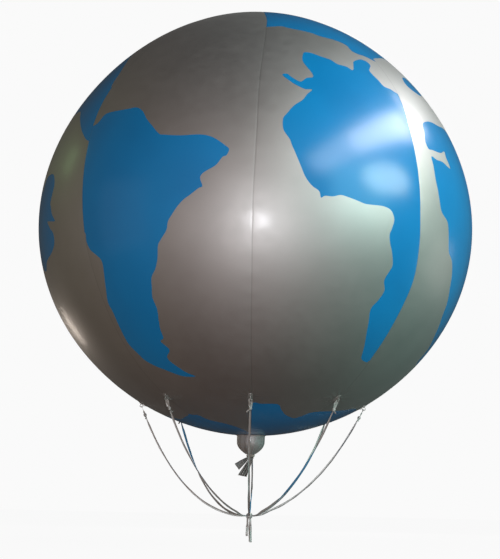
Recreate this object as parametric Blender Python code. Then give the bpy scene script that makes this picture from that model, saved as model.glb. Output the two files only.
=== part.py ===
"""Globe balloon: a sphere of film gores with a tied-off filling neck, eight rope
tabs on its seams and a bridle of eight slack ribbons knotted together below it.

The origin is the middle of the sphere, +Z is up, and one seam faces -Y. Polar
angles are counted from the bottom pole, azimuths from -Y towards +X.
"""
from math import atan2, cos, cosh, hypot, pi, radians, sin

import bmesh
import bpy
from mathutils import Matrix, Vector

# Envelope
RADIUS = 1.250               # at the equator
POLE_RATIO = 0.982           # polar radius over equatorial radius
SQUARENESS = 0.0068          # how much the film draws in halfway between pole and equator
SAG = 0.034                  # how much fuller the lower half is than the upper half
WALL = 0.010                 # envelope wall
GORES = 8
GORE_COLUMNS = 6
GORE_ROWS = 28
NECK_RADIUS = 0.080          # the gores end here, round the neck and at the crown
GAP = 0.0003                 # between pieces that touch

# Crown patch
CROWN_RADIUS = 0.110
CROWN_THICKNESS = 0.004

# Neck: a short wide tube that is gathered and tied below
FLANGE_RADIUS = 0.082
FLANGE_THICKNESS = 0.002
BULB_STRAIGHT = 0.050        # height of the tube before it draws in
BULB_GATHER = 0.0575         # height over which it draws in
BULB_FULLNESS = 1.4          # power of the cosine that it draws in by
BULB_STEPS = 7
TIE_RADIUS = 0.027
THROAT_RADIUS = 0.020
THROAT_LENGTH = 0.015
TIE_SECTION = 0.0065         # thickness of the wound tie
TIE_CHAMFER = 0.002
TIE_SEGMENTS = 24

# Rope tabs, one on each seam
TAB_BASE = (0.024, 0.060, 0.002)
FIN_LENGTH = 0.056
FIN_THICKNESS = 0.003
EYE_HEIGHT = 0.012
EYE_RADIUS = 0.006
FIN_TOP_RADIUS = 0.011
FIN_TOP_START = -15.0        # degrees round the eye, from uphill
FIN_TOP_SWEEP = 210.0
FIN_TOP_STEPS = 10

# Ribbon loop through each tab's eye, closed by a small knot
LOOP_WIDTH = 0.014
LOOP_TUBE = 0.0022
LOOP_LENGTH = 0.052
LOOP_BEND_STEPS = 8          # sides of each half turn, and of the ribbon's tube
LOOP_KNOT_RADIUS = 0.010
LOOP_KNOT_TAPER = 0.7        # its ends' radius over its middle's
LOOP_KNOT_SEGMENTS = 12
LOOP_KNOT_START = 0.046
LOOP_KNOT_END = 0.064

# Bridle: slack ribbons down to one knot, whose cut ends hang below it
RIBBON_WIDTH = 0.014
KNOT_Z = -1.680
KNOT_HALF_WIDTH = 0.020
KNOT_HEIGHT = 0.034
KNOT_CHAMFER = 0.005
ROPE_STEP = 0.042            # three ribbon widths between points
KNOT_BLEND = 0.090           # the ribbons level out over this distance to the knot
FINE_STEPS = 2000            # for measuring a rope's length along its curve
TAIL_RING = 0.010
TAIL_STEPS = 5

# place: azimuth in degrees, polar angle of its hand-welded tab in degrees, and pull:
# where the rope's own low point would lie past the axis, so that more is a straighter
# rope and less a slacker one
ROPES = {
    "front": (0, 31.6, 0.08),
    "front_right": (45, 32.6, 0.11),
    "right": (90, 31.2, 0.09),
    "back_right": (135, 31.6, 0.06),
    "back": (180, 31.8, 0.05),
    "back_left": (225, 30.2, -0.04),
    "left": (270, 30.6, -0.03),
    "front_left": (315, 31.8, 0.08),
}

# strand: azimuth at the knot in degrees, end (x, y), end height
TAILS = {
    "left": (270, (-0.015, 0.002), -1.794),
    "front": (20, (0.002, -0.009), -1.825),
    "back": (140, (0.011, 0.009), -1.829),
}

# flap: corners (x, z) at the throat and at the cut end, left edge then right edge,
# with z counted from the throat's end
FLAPS = {
    "left": ((-0.018, 0.0), (-0.001, 0.0), (-0.088, -0.047), (-0.067, -0.071)),
    "right": ((0.000, 0.0), (0.018, 0.0), (-0.067, -0.106), (-0.023, -0.112)),
}
FLAP_THICKNESS = (0.014, 0.005)
FLAP_SECTIONS = 6
# outline of a flap's section: share of the width, share of the half thickness
FLAP_OUTLINE = ((0, 0), (0.2, -1), (0.8, -1), (1, 0), (0.8, 1), (0.2, 1))

SILVER = (0.30, 0.30, 0.29)
SILVER_PALE = (0.42, 0.42, 0.41)
TIE_WHITE = (0.55, 0.55, 0.52)
RIBBON_GREY = (0.36, 0.37, 0.37)


def clear_scene():
    for item in list(bpy.data.objects):
        bpy.data.objects.remove(item)


def finish(name, colour, roughness, metallic=0.0):
    """One Principled material, made once and shared by name."""
    material = bpy.data.materials.get(name)
    if material is None:
        material = bpy.data.materials.new(name)
        material.use_nodes = True
        shader = material.node_tree.nodes["Principled BSDF"]
        shader.inputs["Base Color"].default_value = (*colour, 1.0)
        shader.inputs["Roughness"].default_value = roughness
        shader.inputs["Metallic"].default_value = metallic
    return material


def add(name, mesh, material, smooth_angle=None):
    """Put a mesh into the scene as one named piece."""
    if smooth_angle is not None:
        mesh.shade_smooth()
        mesh.set_sharp_from_angle(angle=radians(smooth_angle))
    piece = bpy.data.objects.new(name, mesh)
    bpy.context.scene.collection.objects.link(piece)
    if not mesh.materials:
        mesh.materials.append(material)
    return piece


def mesh_of(name, rings, close_ends=True):
    """Skin a list of point rings of equal length, each ring joined to the next."""
    count = len(rings[0])
    verts = [tuple(point) for ring in rings for point in ring]
    faces = []
    for row in range(len(rings) - 1):
        for step in range(count):
            a = row * count + step
            b = row * count + (step + 1) % count
            faces.append((a, b, b + count, a + count))
    if close_ends:
        faces.append(tuple(reversed(range(count))))
        faces.append(tuple(range(len(verts) - count, len(verts))))
    mesh = bpy.data.meshes.new(name)
    mesh.from_pydata(verts, [], faces)
    return outward(mesh)


def outward(mesh):
    """Merge doubles and point every face out."""
    work = bmesh.new()
    work.from_mesh(mesh)
    bmesh.ops.remove_doubles(work, verts=work.verts, dist=1e-6)
    bmesh.ops.recalc_face_normals(work, faces=work.faces)
    work.to_mesh(mesh)
    work.free()
    return mesh


def around(azimuth, radius, z):
    """A point from its azimuth, its distance from the axis and its height."""
    return Vector((radius * sin(azimuth), -radius * cos(azimuth), z))


def skin(angle, depth=0.0):
    """Distance from the axis and height of the film at a polar angle from the bottom."""
    latitude = angle - pi / 2
    oval = 1 / hypot(cos(latitude), sin(latitude) / POLE_RATIO)
    drawn_in = SQUARENESS * (cos(4 * latitude) - 1)
    fuller = SAG * sin(latitude) * cos(latitude) ** 2
    distance = RADIUS * oval * (1 + drawn_in - fuller) - depth
    return distance * cos(latitude), distance * sin(latitude)


def end_angle():
    """Polar angle at which the film is one neck radius from the axis."""
    low, high = 0.0, 0.3
    for _ in range(50):
        middle = (low + high) / 2
        if skin(middle)[0] < NECK_RADIUS:
            low = middle
        else:
            high = middle
    return low


END_ANGLE = end_angle()
TOP_ANGLE = pi - END_ANGLE
ROW_STEP = (TOP_ANGLE - END_ANGLE) / GORE_ROWS
ROW_ANGLES = [END_ANGLE + ROW_STEP * row for row in range(GORE_ROWS + 1)]


def facet(angle):
    """Point, normal and downhill direction on the faceted film at a seam, as (r, z) pairs."""
    row = next(i for i in range(GORE_ROWS) if ROW_ANGLES[i + 1] >= angle)
    low = Vector(skin(ROW_ANGLES[row]))
    high = Vector(skin(ROW_ANGLES[row + 1]))
    share = (angle - ROW_ANGLES[row]) / (ROW_ANGLES[row + 1] - ROW_ANGLES[row])
    down = (low - high).normalized()
    return low.lerp(high, share), Vector((-down.y, down.x)), down


def gore(index):
    """A curved strip of wall between two seams, from the neck to the crown."""
    first = 2 * pi * index / GORES
    width = 2 * pi / GORES

    def side_azimuth(column, radius):
        inset = (GAP / 2) / radius
        if column == 0:
            return first + inset
        if column == GORE_COLUMNS:
            return first + width - inset
        return first + width * column / GORE_COLUMNS

    rings = []
    for angle in ROW_ANGLES:
        outer_r, outer_z = skin(angle)
        inner_r, inner_z = skin(angle, WALL)
        columns = range(GORE_COLUMNS + 1)
        outer = [around(side_azimuth(c, outer_r), outer_r, outer_z) for c in columns]
        inner = [around(side_azimuth(c, inner_r), inner_r, inner_z) for c in reversed(columns)]
        rings.append(outer + inner)
    mesh = mesh_of(f"envelope_gore_{index + 1}", rings, close_ends=False)
    return close_rims(mesh, rings)


def close_rims(mesh, rings):
    """Close a gore's first and last ring with quads from its outer to its inner edge."""
    work = bmesh.new()
    work.from_mesh(mesh)
    work.verts.ensure_lookup_table()
    count = len(rings[0])
    for start in (0, (len(rings) - 1) * count):
        for column in range(GORE_COLUMNS):
            corners = (column, column + 1, count - 2 - column, count - 1 - column)
            work.faces.new([work.verts[start + corner] for corner in corners])
    bmesh.ops.recalc_face_normals(work, faces=work.faces)
    work.to_mesh(mesh)
    work.free()
    return mesh


def turned(name, profile, segments=GORES * GORE_COLUMNS):
    """A closed solid turned about +Z from (r, z) pairs that start and end off the axis."""
    azimuths = [2 * pi * step / segments for step in range(segments)]
    rings = [[around(azimuth, r, z) for azimuth in azimuths] for r, z in profile]
    return mesh_of(name, rings)


def crown_patch():
    """A round patch welded over the gore tips at the top."""
    rim_r, rim_z = skin(TOP_ANGLE)
    next_r, next_z = skin(ROW_ANGLES[-2])
    share = (CROWN_RADIUS - rim_r) / (next_r - rim_r)
    edge_z = rim_z + (next_z - rim_z) * share
    profile = [
        (rim_r, rim_z + GAP),
        (CROWN_RADIUS, edge_z + GAP),
        (CROWN_RADIUS, edge_z + GAP + CROWN_THICKNESS),
        (rim_r, rim_z + GAP + CROWN_THICKNESS),
    ]
    return turned("crown_patch", profile)


def neck_bottom():
    """Heights of the neck's top, of the end of its gathering and of the throat's end."""
    top = skin(END_ANGLE)[1] - GAP
    gathered = top - BULB_STRAIGHT - BULB_GATHER
    return top, gathered, gathered - THROAT_LENGTH


def neck_bulb():
    """The filling neck: a wide short tube drawn in to the tie, with its throat."""
    top, gathered, end = neck_bottom()
    profile = [
        (FLANGE_RADIUS, top),
        (FLANGE_RADIUS, top - FLANGE_THICKNESS),
        (NECK_RADIUS, top - 2 * FLANGE_THICKNESS),
    ]
    for step in range(BULB_STEPS + 1):
        turn = pi / 2 * step / BULB_STEPS
        r = TIE_RADIUS + (NECK_RADIUS - TIE_RADIUS) * cos(turn) ** BULB_FULLNESS
        profile.append((r, top - BULB_STRAIGHT - BULB_GATHER * sin(turn)))
    profile.append((THROAT_RADIUS, gathered - GAP))
    profile.append((THROAT_RADIUS, end))
    return turned("neck_bulb", profile)


def neck_tie():
    """The cord wound round the gathered throat, as one plain collar."""
    _, gathered, end = neck_bottom()
    inner = THROAT_RADIUS + GAP
    middle_z = (gathered - 2 * GAP + end) / 2
    half = (gathered - end) / 2 - 2 * GAP
    outer = inner + TIE_SECTION
    section = [
        (inner, middle_z + half),
        (outer - TIE_CHAMFER, middle_z + half),
        (outer, middle_z + half - TIE_CHAMFER),
        (outer, middle_z - half + TIE_CHAMFER),
        (outer - TIE_CHAMFER, middle_z - half),
        (inner, middle_z - half),
    ]
    azimuths = [2 * pi * step / TIE_SEGMENTS for step in range(TIE_SEGMENTS)]
    rings = [[around(azimuth, r, z) for r, z in section] for azimuth in azimuths]
    rings.append(rings[0])
    return mesh_of("neck_tie", rings, close_ends=False)


def sleeve_flap(name, corners):
    """A folded end of the neck's film, a fan that thins towards its cut end."""
    start_left, start_right, end_left, end_right = [Vector(corner) for corner in corners]
    throat_end = neck_bottom()[2] - GAP
    rings = []
    for section in range(FLAP_SECTIONS + 1):
        share = section / FLAP_SECTIONS
        left = start_left.lerp(end_left, share)
        right = start_right.lerp(end_right, share)
        thick = FLAP_THICKNESS[0] + (FLAP_THICKNESS[1] - FLAP_THICKNESS[0]) * share
        ring = []
        for across, through in FLAP_OUTLINE:
            spot = left.lerp(right, across)
            ring.append(Vector((spot.x, through * thick / 2, throat_end + spot.y)))
        rings.append(ring)
    return mesh_of(f"sleeve_flap_{name}", rings)


def tab_mesh():
    """Weld base and upright fin with its eye; local Z stands off the film, Y runs downhill."""
    width, length, height = TAB_BASE
    corners = [(-width / 2, -length / 2), (width / 2, -length / 2)]
    corners += [(width / 2, length / 2), (-width / 2, length / 2)]
    rings = [[Vector((x, y, z)) for x, y in corners] for z in (GAP, GAP + height)]
    base_mesh = mesh_of("tab_base", rings)

    # fin outline: over the top round the eye, then the two corners of its foot
    foot_z = GAP + height / 2
    outline = []
    for step in range(FIN_TOP_STEPS + 1):
        turn = radians(FIN_TOP_START + FIN_TOP_SWEEP * step / FIN_TOP_STEPS)
        outline.append((FIN_TOP_RADIUS * cos(turn), EYE_HEIGHT + FIN_TOP_RADIUS * sin(turn)))
    outline.append((-FIN_LENGTH / 2, foot_z))
    for y in (-FIN_LENGTH / 6, FIN_LENGTH / 6):
        outline.append((y, foot_z))
    outline.append((FIN_LENGTH / 2, foot_z))
    turns = [atan2(z - EYE_HEIGHT, y) for y, z in outline]
    eye = [(EYE_RADIUS * cos(turn), EYE_HEIGHT + EYE_RADIUS * sin(turn)) for turn in turns]
    rings = []
    half = FIN_THICKNESS / 2
    for side, ring in ((half, outline), (half, eye), (-half, eye), (-half, outline), (half, outline)):
        rings.append([Vector((side, y, z)) for y, z in ring])
    fin_mesh = mesh_of("tab_fin", rings, close_ends=False)
    return joined("rope_tab", base_mesh, fin_mesh)


def joined(name, first_mesh, second_mesh):
    """Boolean union of two closed meshes as one new mesh."""
    first = bpy.data.objects.new(name, first_mesh)
    second = bpy.data.objects.new(name + "_other", second_mesh)
    for item in (first, second):
        bpy.context.scene.collection.objects.link(item)
    union = first.modifiers.new("union", "BOOLEAN")
    union.operation = "UNION"
    union.object = second
    shapes = bpy.context.evaluated_depsgraph_get()
    mesh = bpy.data.meshes.new_from_object(first.evaluated_get(shapes))
    for item in (first, second):
        bpy.data.objects.remove(item)
    return outward(mesh)


def loop_seat():
    """How far the loop is pulled down the rope's line from the eye's middle until it bears."""
    bend = LOOP_WIDTH / 2
    bow = bend - (bend ** 2 - (FIN_THICKNESS / 2) ** 2) ** 0.5
    return EYE_RADIUS - LOOP_TUBE - GAP - bow


def loop_mesh():
    """Ribbon loop and its knot; local X runs through the eye, Z points back up the rope."""
    bend = LOOP_WIDTH / 2
    path = []
    for centre, start in ((-bend, 0), (-LOOP_LENGTH + bend, pi)):
        for step in range(LOOP_BEND_STEPS + 1):
            turn = start + pi * step / LOOP_BEND_STEPS
            path.append(Vector((bend * cos(turn), 0, centre + bend * sin(turn))))
    rings = []
    count = len(path)
    for index, point in enumerate(path):
        ahead = (path[(index + 1) % count] - path[index - 1]).normalized()
        side = ahead.cross(Vector((0, 1, 0)))
        ring = []
        for step in range(LOOP_BEND_STEPS):
            turn = 2 * pi * step / LOOP_BEND_STEPS
            ring.append(point + LOOP_TUBE * (cos(turn) * side + sin(turn) * Vector((0, 1, 0))))
        rings.append(ring)
    rings.append(rings[0])
    ring_mesh = mesh_of("loop_ring", rings, close_ends=False)

    narrow = LOOP_KNOT_RADIUS * LOOP_KNOT_TAPER
    bevel = (LOOP_KNOT_END - LOOP_KNOT_START) / 4
    profile = [
        (narrow, -LOOP_KNOT_START),
        (LOOP_KNOT_RADIUS, -LOOP_KNOT_START - bevel),
        (LOOP_KNOT_RADIUS, -LOOP_KNOT_END + bevel),
        (narrow, -LOOP_KNOT_END),
    ]
    return joined("rope_loop", ring_mesh, turned("loop_knot", profile, LOOP_KNOT_SEGMENTS))


def eye_point(tab_angle):
    """Where a tab's eye lies, as (r, z)."""
    place, normal, _ = facet(tab_angle)
    return place + normal * EYE_HEIGHT


def catenary(eye, pull):
    """Height above the knot, as a function of distance from the axis, for one rope."""
    far, rise = eye.x, eye.y - KNOT_Z
    near = KNOT_HALF_WIDTH

    def height(scale, r):
        return scale * (cosh((r + pull) / scale) - cosh((near + pull) / scale))

    low, high = 0.15, 5.0
    for _ in range(60):
        scale = (low + high) / 2
        if height(scale, far) > rise:
            low = scale
        else:
            high = scale
    return lambda r: height(low, r)


def rope_route(eye, pull):
    """Points (r, z) from the loop's knot down to the bridle knot, evenly spaced."""
    height = catenary(eye, pull)
    near = KNOT_HALF_WIDTH + GAP
    far = eye.x

    def spot(r):
        share = min(1.0, (r - near) / KNOT_BLEND)
        level_out = share * share * (3 - 2 * share)
        return Vector((r, KNOT_Z + height(r) * level_out))

    fine = [spot(near + (far - near) * (1 - step / FINE_STEPS)) for step in range(FINE_STEPS + 1)]
    travelled = [0.0]
    for before, after in zip(fine, fine[1:]):
        travelled.append(travelled[-1] + (after - before).length)
    start = loop_seat() + LOOP_KNOT_END + GAP
    count = round((travelled[-1] - start) / ROPE_STEP)
    route = []
    position = 0
    for index in range(count + 1):
        target = start + (travelled[-1] - start) * index / count
        while position < FINE_STEPS and travelled[position] < target:
            position += 1
        route.append(fine[position])
    # leave the knot level, so that the end cap faces the knot's side
    route.insert(-1, Vector((near + ROPE_STEP / 4, KNOT_Z)))
    return route


def cord(name, points, material):
    """A free ribbon's plain solid: a round tube along its route."""
    curve = bpy.data.curves.new(name, "CURVE")
    curve.dimensions = "3D"
    curve.bevel_depth = RIBBON_WIDTH / 2
    curve.bevel_resolution = 2
    curve.use_fill_caps = True
    spline = curve.splines.new("POLY")
    spline.points.add(len(points) - 1)
    for place, point in zip(spline.points, points):
        place.co = (*point, 1.0)
    curve.materials.append(material)
    piece = bpy.data.objects.new(name, curve)
    bpy.context.scene.collection.objects.link(piece)
    return piece


def tail_route(azimuth, end, end_z):
    """A cut ribbon end that leaves the knot's underside straight down and swings out a little."""
    start = around(azimuth, TAIL_RING, KNOT_Z - KNOT_HEIGHT / 2 - GAP)
    finish_point = Vector((*end, end_z))
    points = []
    for step in range(TAIL_STEPS + 1):
        share = step / TAIL_STEPS
        swing = share * share * (3 - 2 * share)
        x = start.x + (finish_point.x - start.x) * swing
        y = start.y + (finish_point.y - start.y) * swing
        points.append(Vector((x, y, start.z + (finish_point.z - start.z) * share)))
    return points


def bridle_knot():
    """Eight-sided knot, one flat side for each rope."""
    segments = len(ROPES)
    corner = KNOT_HALF_WIDTH / cos(pi / segments)
    inner = (KNOT_HALF_WIDTH - KNOT_CHAMFER / 2) / cos(pi / segments)
    half = KNOT_HEIGHT / 2
    upper = [(inner, half), (corner, half - KNOT_CHAMFER)]
    lower = [(radius, -z) for radius, z in reversed(upper)]
    azimuths = [2 * pi * (step + 0.5) / segments for step in range(segments)]
    rings = [[around(azimuth, radius, KNOT_Z + z) for azimuth in azimuths] for radius, z in upper + lower]
    return mesh_of("bridle_knot", rings)


def build_envelope():
    silver = finish("silver_film", SILVER, 0.30)
    for index in range(GORES):
        add(f"envelope_gore_{index + 1}", gore(index), silver, 30)
    add("crown_patch", crown_patch(), finish("silver_patch", SILVER_PALE, 0.35), 30)


def build_neck():
    silver = finish("silver_neck", SILVER_PALE, 0.32)
    add("neck_bulb", neck_bulb(), silver, 40)
    add("neck_tie", neck_tie(), finish("tie_cord", TIE_WHITE, 0.7), 50)
    for name, corners in FLAPS.items():
        add(f"sleeve_flap_{name}", sleeve_flap(name, corners), silver)


def build_bridle():
    tab = tab_mesh()
    loop = loop_mesh()
    tab_finish = finish("tab_film", SILVER_PALE, 0.35)
    ribbon = finish("ribbon", RIBBON_GREY, 0.35)
    for name, (degrees, tab_degrees, pull) in ROPES.items():
        azimuth = radians(degrees)
        place, normal, down = facet(radians(tab_degrees))
        eye = eye_point(radians(tab_degrees))
        outward_axis = around(azimuth, 1, 0)
        sideways = Vector((cos(azimuth), sin(azimuth), 0))

        def in_plane(pair):
            return outward_axis * pair.x + Vector((0, 0, pair.y))

        piece = add(f"rope_tab_{name}", tab, tab_finish)
        piece.matrix_world = frame_at(in_plane(place), sideways, in_plane(down), in_plane(normal))

        route = rope_route(eye, pull)
        back_up = in_plane((eye - route[0]).normalized())
        bearing = in_plane(eye) - back_up * loop_seat()
        piece = add(f"rope_loop_{name}", loop, ribbon)
        piece.matrix_world = frame_at(bearing, sideways, back_up.cross(sideways), back_up)

        cord(f"rope_{name}", [in_plane(pair) for pair in route], ribbon)
    add("bridle_knot", bridle_knot(), ribbon, 20)
    for name, (degrees, end, end_z) in TAILS.items():
        cord(f"knot_tail_{name}", tail_route(radians(degrees), end, end_z), ribbon)


def frame_at(origin, x_axis, y_axis, z_axis):
    """A placement from an origin and three unit axes."""
    turn = Matrix((x_axis, y_axis, z_axis)).transposed().to_4x4()
    return Matrix.Translation(origin) @ turn


def main():
    clear_scene()
    build_envelope()
    build_neck()
    build_bridle()


main()
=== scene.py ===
# %% [markdown]
# # Globe balloon
# A big globe of thin silver film with a world map in blue, filled with gas through a
# short neck that is gathered and tied. Eight ribbons hang from tabs on its seams and
# meet in one knot below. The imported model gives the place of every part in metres:
# +Z is up, and the front seam faces -Y. This lesson dresses that model in film.

import bpy
import numpy as np
from mathutils import Matrix
from mathutils.geometry import delaunay_2d_cdt


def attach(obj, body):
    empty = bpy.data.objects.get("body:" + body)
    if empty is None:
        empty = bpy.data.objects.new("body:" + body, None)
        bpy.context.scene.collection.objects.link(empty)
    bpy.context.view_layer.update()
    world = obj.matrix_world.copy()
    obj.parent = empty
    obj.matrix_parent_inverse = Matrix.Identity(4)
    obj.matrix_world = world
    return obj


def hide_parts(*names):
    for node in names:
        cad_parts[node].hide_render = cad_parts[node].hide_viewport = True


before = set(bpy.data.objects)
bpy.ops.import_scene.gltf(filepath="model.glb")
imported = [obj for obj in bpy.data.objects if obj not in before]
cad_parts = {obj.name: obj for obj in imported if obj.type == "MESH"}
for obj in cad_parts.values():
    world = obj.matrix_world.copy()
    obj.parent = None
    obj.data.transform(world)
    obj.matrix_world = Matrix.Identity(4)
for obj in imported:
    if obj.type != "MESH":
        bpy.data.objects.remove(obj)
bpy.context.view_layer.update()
print("packed nodes:", len(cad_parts))

# %% [markdown]
# ## Where the viewer stands
# The photograph looks up at the balloon from floor level, about nine metres away, with
# a long lens. A camera could be aimed with a constraint, but a matrix of three unit
# vectors also holds the small tilt of a camera that was held by hand.

# %% Camera
CAMERA_PLACE = np.array([0.1081, -9.4386, -1.6436])
LOOKS_UP, TILT, TURN = np.radians([7.949, 1.232, 0.806])
LENS = 118.48                # mm on a sensor 36 mm wide

turn_left = np.array(
    [[np.cos(TURN), -np.sin(TURN), 0], [np.sin(TURN), np.cos(TURN), 0], [0, 0, 1]]
)
level_up = np.array([0, -np.sin(LOOKS_UP), np.cos(LOOKS_UP)])
level_right = np.array([1.0, 0, 0])
forward = turn_left @ [0, np.cos(LOOKS_UP), np.sin(LOOKS_UP)]
right = turn_left @ (np.cos(TILT) * level_right + np.sin(TILT) * level_up)
upward = turn_left @ (np.cos(TILT) * level_up - np.sin(TILT) * level_right)

camera = bpy.data.objects.new("camera", bpy.data.cameras.new("camera"))
bpy.context.scene.collection.objects.link(camera)
camera.data.sensor_fit = "HORIZONTAL"
camera.data.sensor_width = 36
camera.data.lens = LENS
placement = Matrix(np.column_stack([right, upward, -forward, CAMERA_PLACE]).tolist())
camera.matrix_world = placement.to_4x4()
bpy.context.scene.camera = camera
print("camera looks along", forward.round(3))

# %% [markdown]
# ## Colours and nodes
# Film colours are written as the hex codes that a paint program shows, and one function
# turns them into the linear light that the renderer adds up. One more function adds a
# node with its settings and its links, so each material below reads as a list.

# %% Colour and node helpers
def linear(code):
    """sRGB hex code to linear RGBA: c / 12.92 up to 0.04045, else ((c + 0.055) / 1.055) ** 2.4."""
    c = np.array([int(code[i:i + 2], 16) for i in (1, 3, 5)]) / 255
    return (*np.where(c <= 0.04045, c / 12.92, ((c + 0.055) / 1.055) ** 2.4).tolist(), 1.0)


def add_node(tree, kind, inputs=None, **settings):
    """Add one node; inputs maps a socket's name or number to a value or to another socket."""
    made = tree.nodes.new(kind)
    for key, value in settings.items():
        setattr(made, key, value)
    for key, value in (inputs or {}).items():
        if isinstance(value, bpy.types.NodeSocket):
            tree.links.new(value, made.inputs[key])
        else:
            made.inputs[key].default_value = value
    return made


def new_material(name):
    """An empty node material and its shader, already joined to the output."""
    material = bpy.data.materials.new(name)
    material.use_nodes = True
    tree = material.node_tree
    tree.nodes.clear()
    shader = add_node(tree, "ShaderNodeBsdfPrincipled")
    add_node(tree, "ShaderNodeOutputMaterial", {"Surface": shader.outputs[0]})
    return material, tree, shader


print("linear middle grey:", np.round(linear("#808080"), 3))

# %% [markdown]
# ## The curve of the film
# The globe is a turned shape: one curve, a function of the latitude, gives the film's
# distance from the axis and its height. It is nearly a circle, a little lower than
# wide, drawn in between pole and equator and fuller below, as gas-filled film hangs.

# %% Film curve
RADIUS = 1.250               # m at the equator
POLE_RATIO = 0.982           # polar radius over equatorial radius
SQUARENESS = 0.0068
SAG = 0.034
NECK_RADIUS = 0.080          # the gores end here at the neck and under the crown patch
GAP = 0.0003                 # between parts that touch
GORES = 8
GORE_ROWS = 28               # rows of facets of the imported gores


def film_curve(latitude):
    """(r, z) of the film. distance = R * oval * (1 + drawn in - fuller), turned by the latitude."""
    latitude = np.asarray(latitude, float)
    oval = 1 / np.hypot(np.cos(latitude), np.sin(latitude) / POLE_RATIO)
    drawn_in = SQUARENESS * (np.cos(4 * latitude) - 1)
    fuller = SAG * np.sin(latitude) * np.cos(latitude) ** 2
    distance = RADIUS * oval * (1 + drawn_in - fuller)
    return np.stack([distance * np.cos(latitude), distance * np.sin(latitude)], -1)


def unit(vectors):
    """Vectors divided by their own length."""
    return vectors / np.linalg.norm(vectors, axis=-1, keepdims=True)


def around(azimuth, radius, z):
    """Points from azimuth (radians from -Y towards +X), distance from the axis and height."""
    azimuth, radius, z = np.broadcast_arrays(azimuth, radius, z)
    return np.stack([radius * np.sin(azimuth), -radius * np.cos(azimuth), z], -1)


low_latitudes = np.radians(np.linspace(-90, -70, 20001))
NECK_LATITUDE = np.interp(NECK_RADIUS, film_curve(low_latitudes)[:, 0], low_latitudes)
ROW_LATITUDES = np.linspace(NECK_LATITUDE, -NECK_LATITUDE, GORE_ROWS + 1)
print("the film meets the neck at latitude", np.degrees(NECK_LATITUDE).round(2))

# %% [markdown]
# ## Where the ribbons hang
# A rope that hangs between two ends takes the shape of a chain, the catenary. Each of
# the eight ribbons leaves the loop in its tab's eye, sags, and levels out just before
# the knot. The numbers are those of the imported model, so the ribbons lie where it says.

# %% Ribbon routes
EYE_HEIGHT = 0.012
EYE_RADIUS = 0.006
FIN_THICKNESS = 0.003
LOOP_WIDTH = 0.014
LOOP_TUBE = 0.0022
LOOP_KNOT_START = 0.046
LOOP_KNOT_END = 0.064
RIBBON_WIDTH = 0.014
KNOT_Z = -1.680
KNOT_HALF_WIDTH = 0.020
KNOT_HEIGHT = 0.034
KNOT_BLEND = 0.090
RING_STEP = 0.011            # along a ribbon
INTO_KNOT = 0.008            # the ribbons end inside the knot, this far from the axis

# place: azimuth, tab's angle from the bottom, pull, then the twist: the ribbon's turn
# in degrees at the shares 0, 0.2, 0.4, 0.6, 0.8 and 1 of its length
ROPES = {
    "front": (0, 31.6, 0.08, (8, 38, -28, -36, 24, 40)),
    "front_right": (45, 32.6, 0.11, (30, 46, 156, 150, 40, 20)),
    "right": (90, 31.2, 0.09, (35, 50, 30, 42, 25, 50)),
    "back_right": (135, 31.6, 0.06, (20, -30, 40, 56, 30, 10)),
    "back": (180, 31.8, 0.05, (10, 40, 50, 52, 140, 150)),
    "back_left": (225, 30.2, -0.04, (150, 160, 66, 40, 30, 20)),
    "left": (270, 30.6, -0.03, (32, 40, 60, 36, 20, 42)),
    "front_left": (315, 31.8, 0.08, (16, 30, 58, 42, 28, 20)),
}


def tab_frame(tab_degrees):
    """Point, normal and downhill direction, as (r, z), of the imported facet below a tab's eye."""
    latitude = np.radians(tab_degrees) - np.pi / 2
    row = np.searchsorted(ROW_LATITUDES, latitude) - 1
    low, high = film_curve(ROW_LATITUDES[row:row + 2])
    share = (latitude - ROW_LATITUDES[row]) / (ROW_LATITUDES[row + 1] - ROW_LATITUDES[row])
    down = unit(low - high)
    return low + (high - low) * share, np.array([-down[1], down[0]]), down


def loop_seat():
    """How far the loop hangs below the eye's middle until it bears on the eye."""
    bend = LOOP_WIDTH / 2
    bow = bend - np.sqrt(bend ** 2 - (FIN_THICKNESS / 2) ** 2)
    return EYE_RADIUS - LOOP_TUBE - GAP - bow


def rope_route(eye, pull):
    """Evenly spaced (r, z): scale * (cosh((r + pull) / scale) - cosh at the knot), levelled out near it."""
    def height(scale, r):
        return scale * (np.cosh((r + pull) / scale) - np.cosh((KNOT_HALF_WIDTH + pull) / scale))

    low, high = 0.15, 5.0
    for _ in range(60):
        scale = (low + high) / 2
        too_high = height(scale, eye[0]) > eye[1] - KNOT_Z
        low, high = (scale, high) if too_high else (low, scale)
    near = KNOT_HALF_WIDTH + GAP
    r = np.linspace(eye[0], near, 4001)
    share = np.minimum(1, (r - near) / KNOT_BLEND)
    fine = np.stack([r, KNOT_Z + height(low, r) * share ** 2 * (3 - 2 * share)], -1)
    travelled = np.r_[0, np.cumsum(np.linalg.norm(np.diff(fine, axis=0), axis=1))]
    start = loop_seat() + LOOP_KNOT_END + GAP
    steps = np.linspace(start, travelled[-1], int((travelled[-1] - start) / RING_STEP) + 1)
    return np.stack([np.interp(steps, travelled, fine[:, i]) for i in (0, 1)], -1)


routes = {}
for name, (degrees, tab_degrees, pull, _) in ROPES.items():
    place, normal, down = tab_frame(tab_degrees)
    routes[name] = rope_route(place + normal * EYE_HEIGHT, pull)
    long = np.linalg.norm(np.diff(routes[name], axis=0), axis=1).sum()
    print(f"{name} ribbon: {long:.3f} m")

# %% [markdown]
# ## Surfaces from grids of points
# Nearly every piece is a grid: rings of points, each ring joined to the next. A tip may
# close the first or last ring. A second function carries a profile along a path, with
# the profile's flat side turned to a chosen direction, for ribbons and cord.

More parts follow.
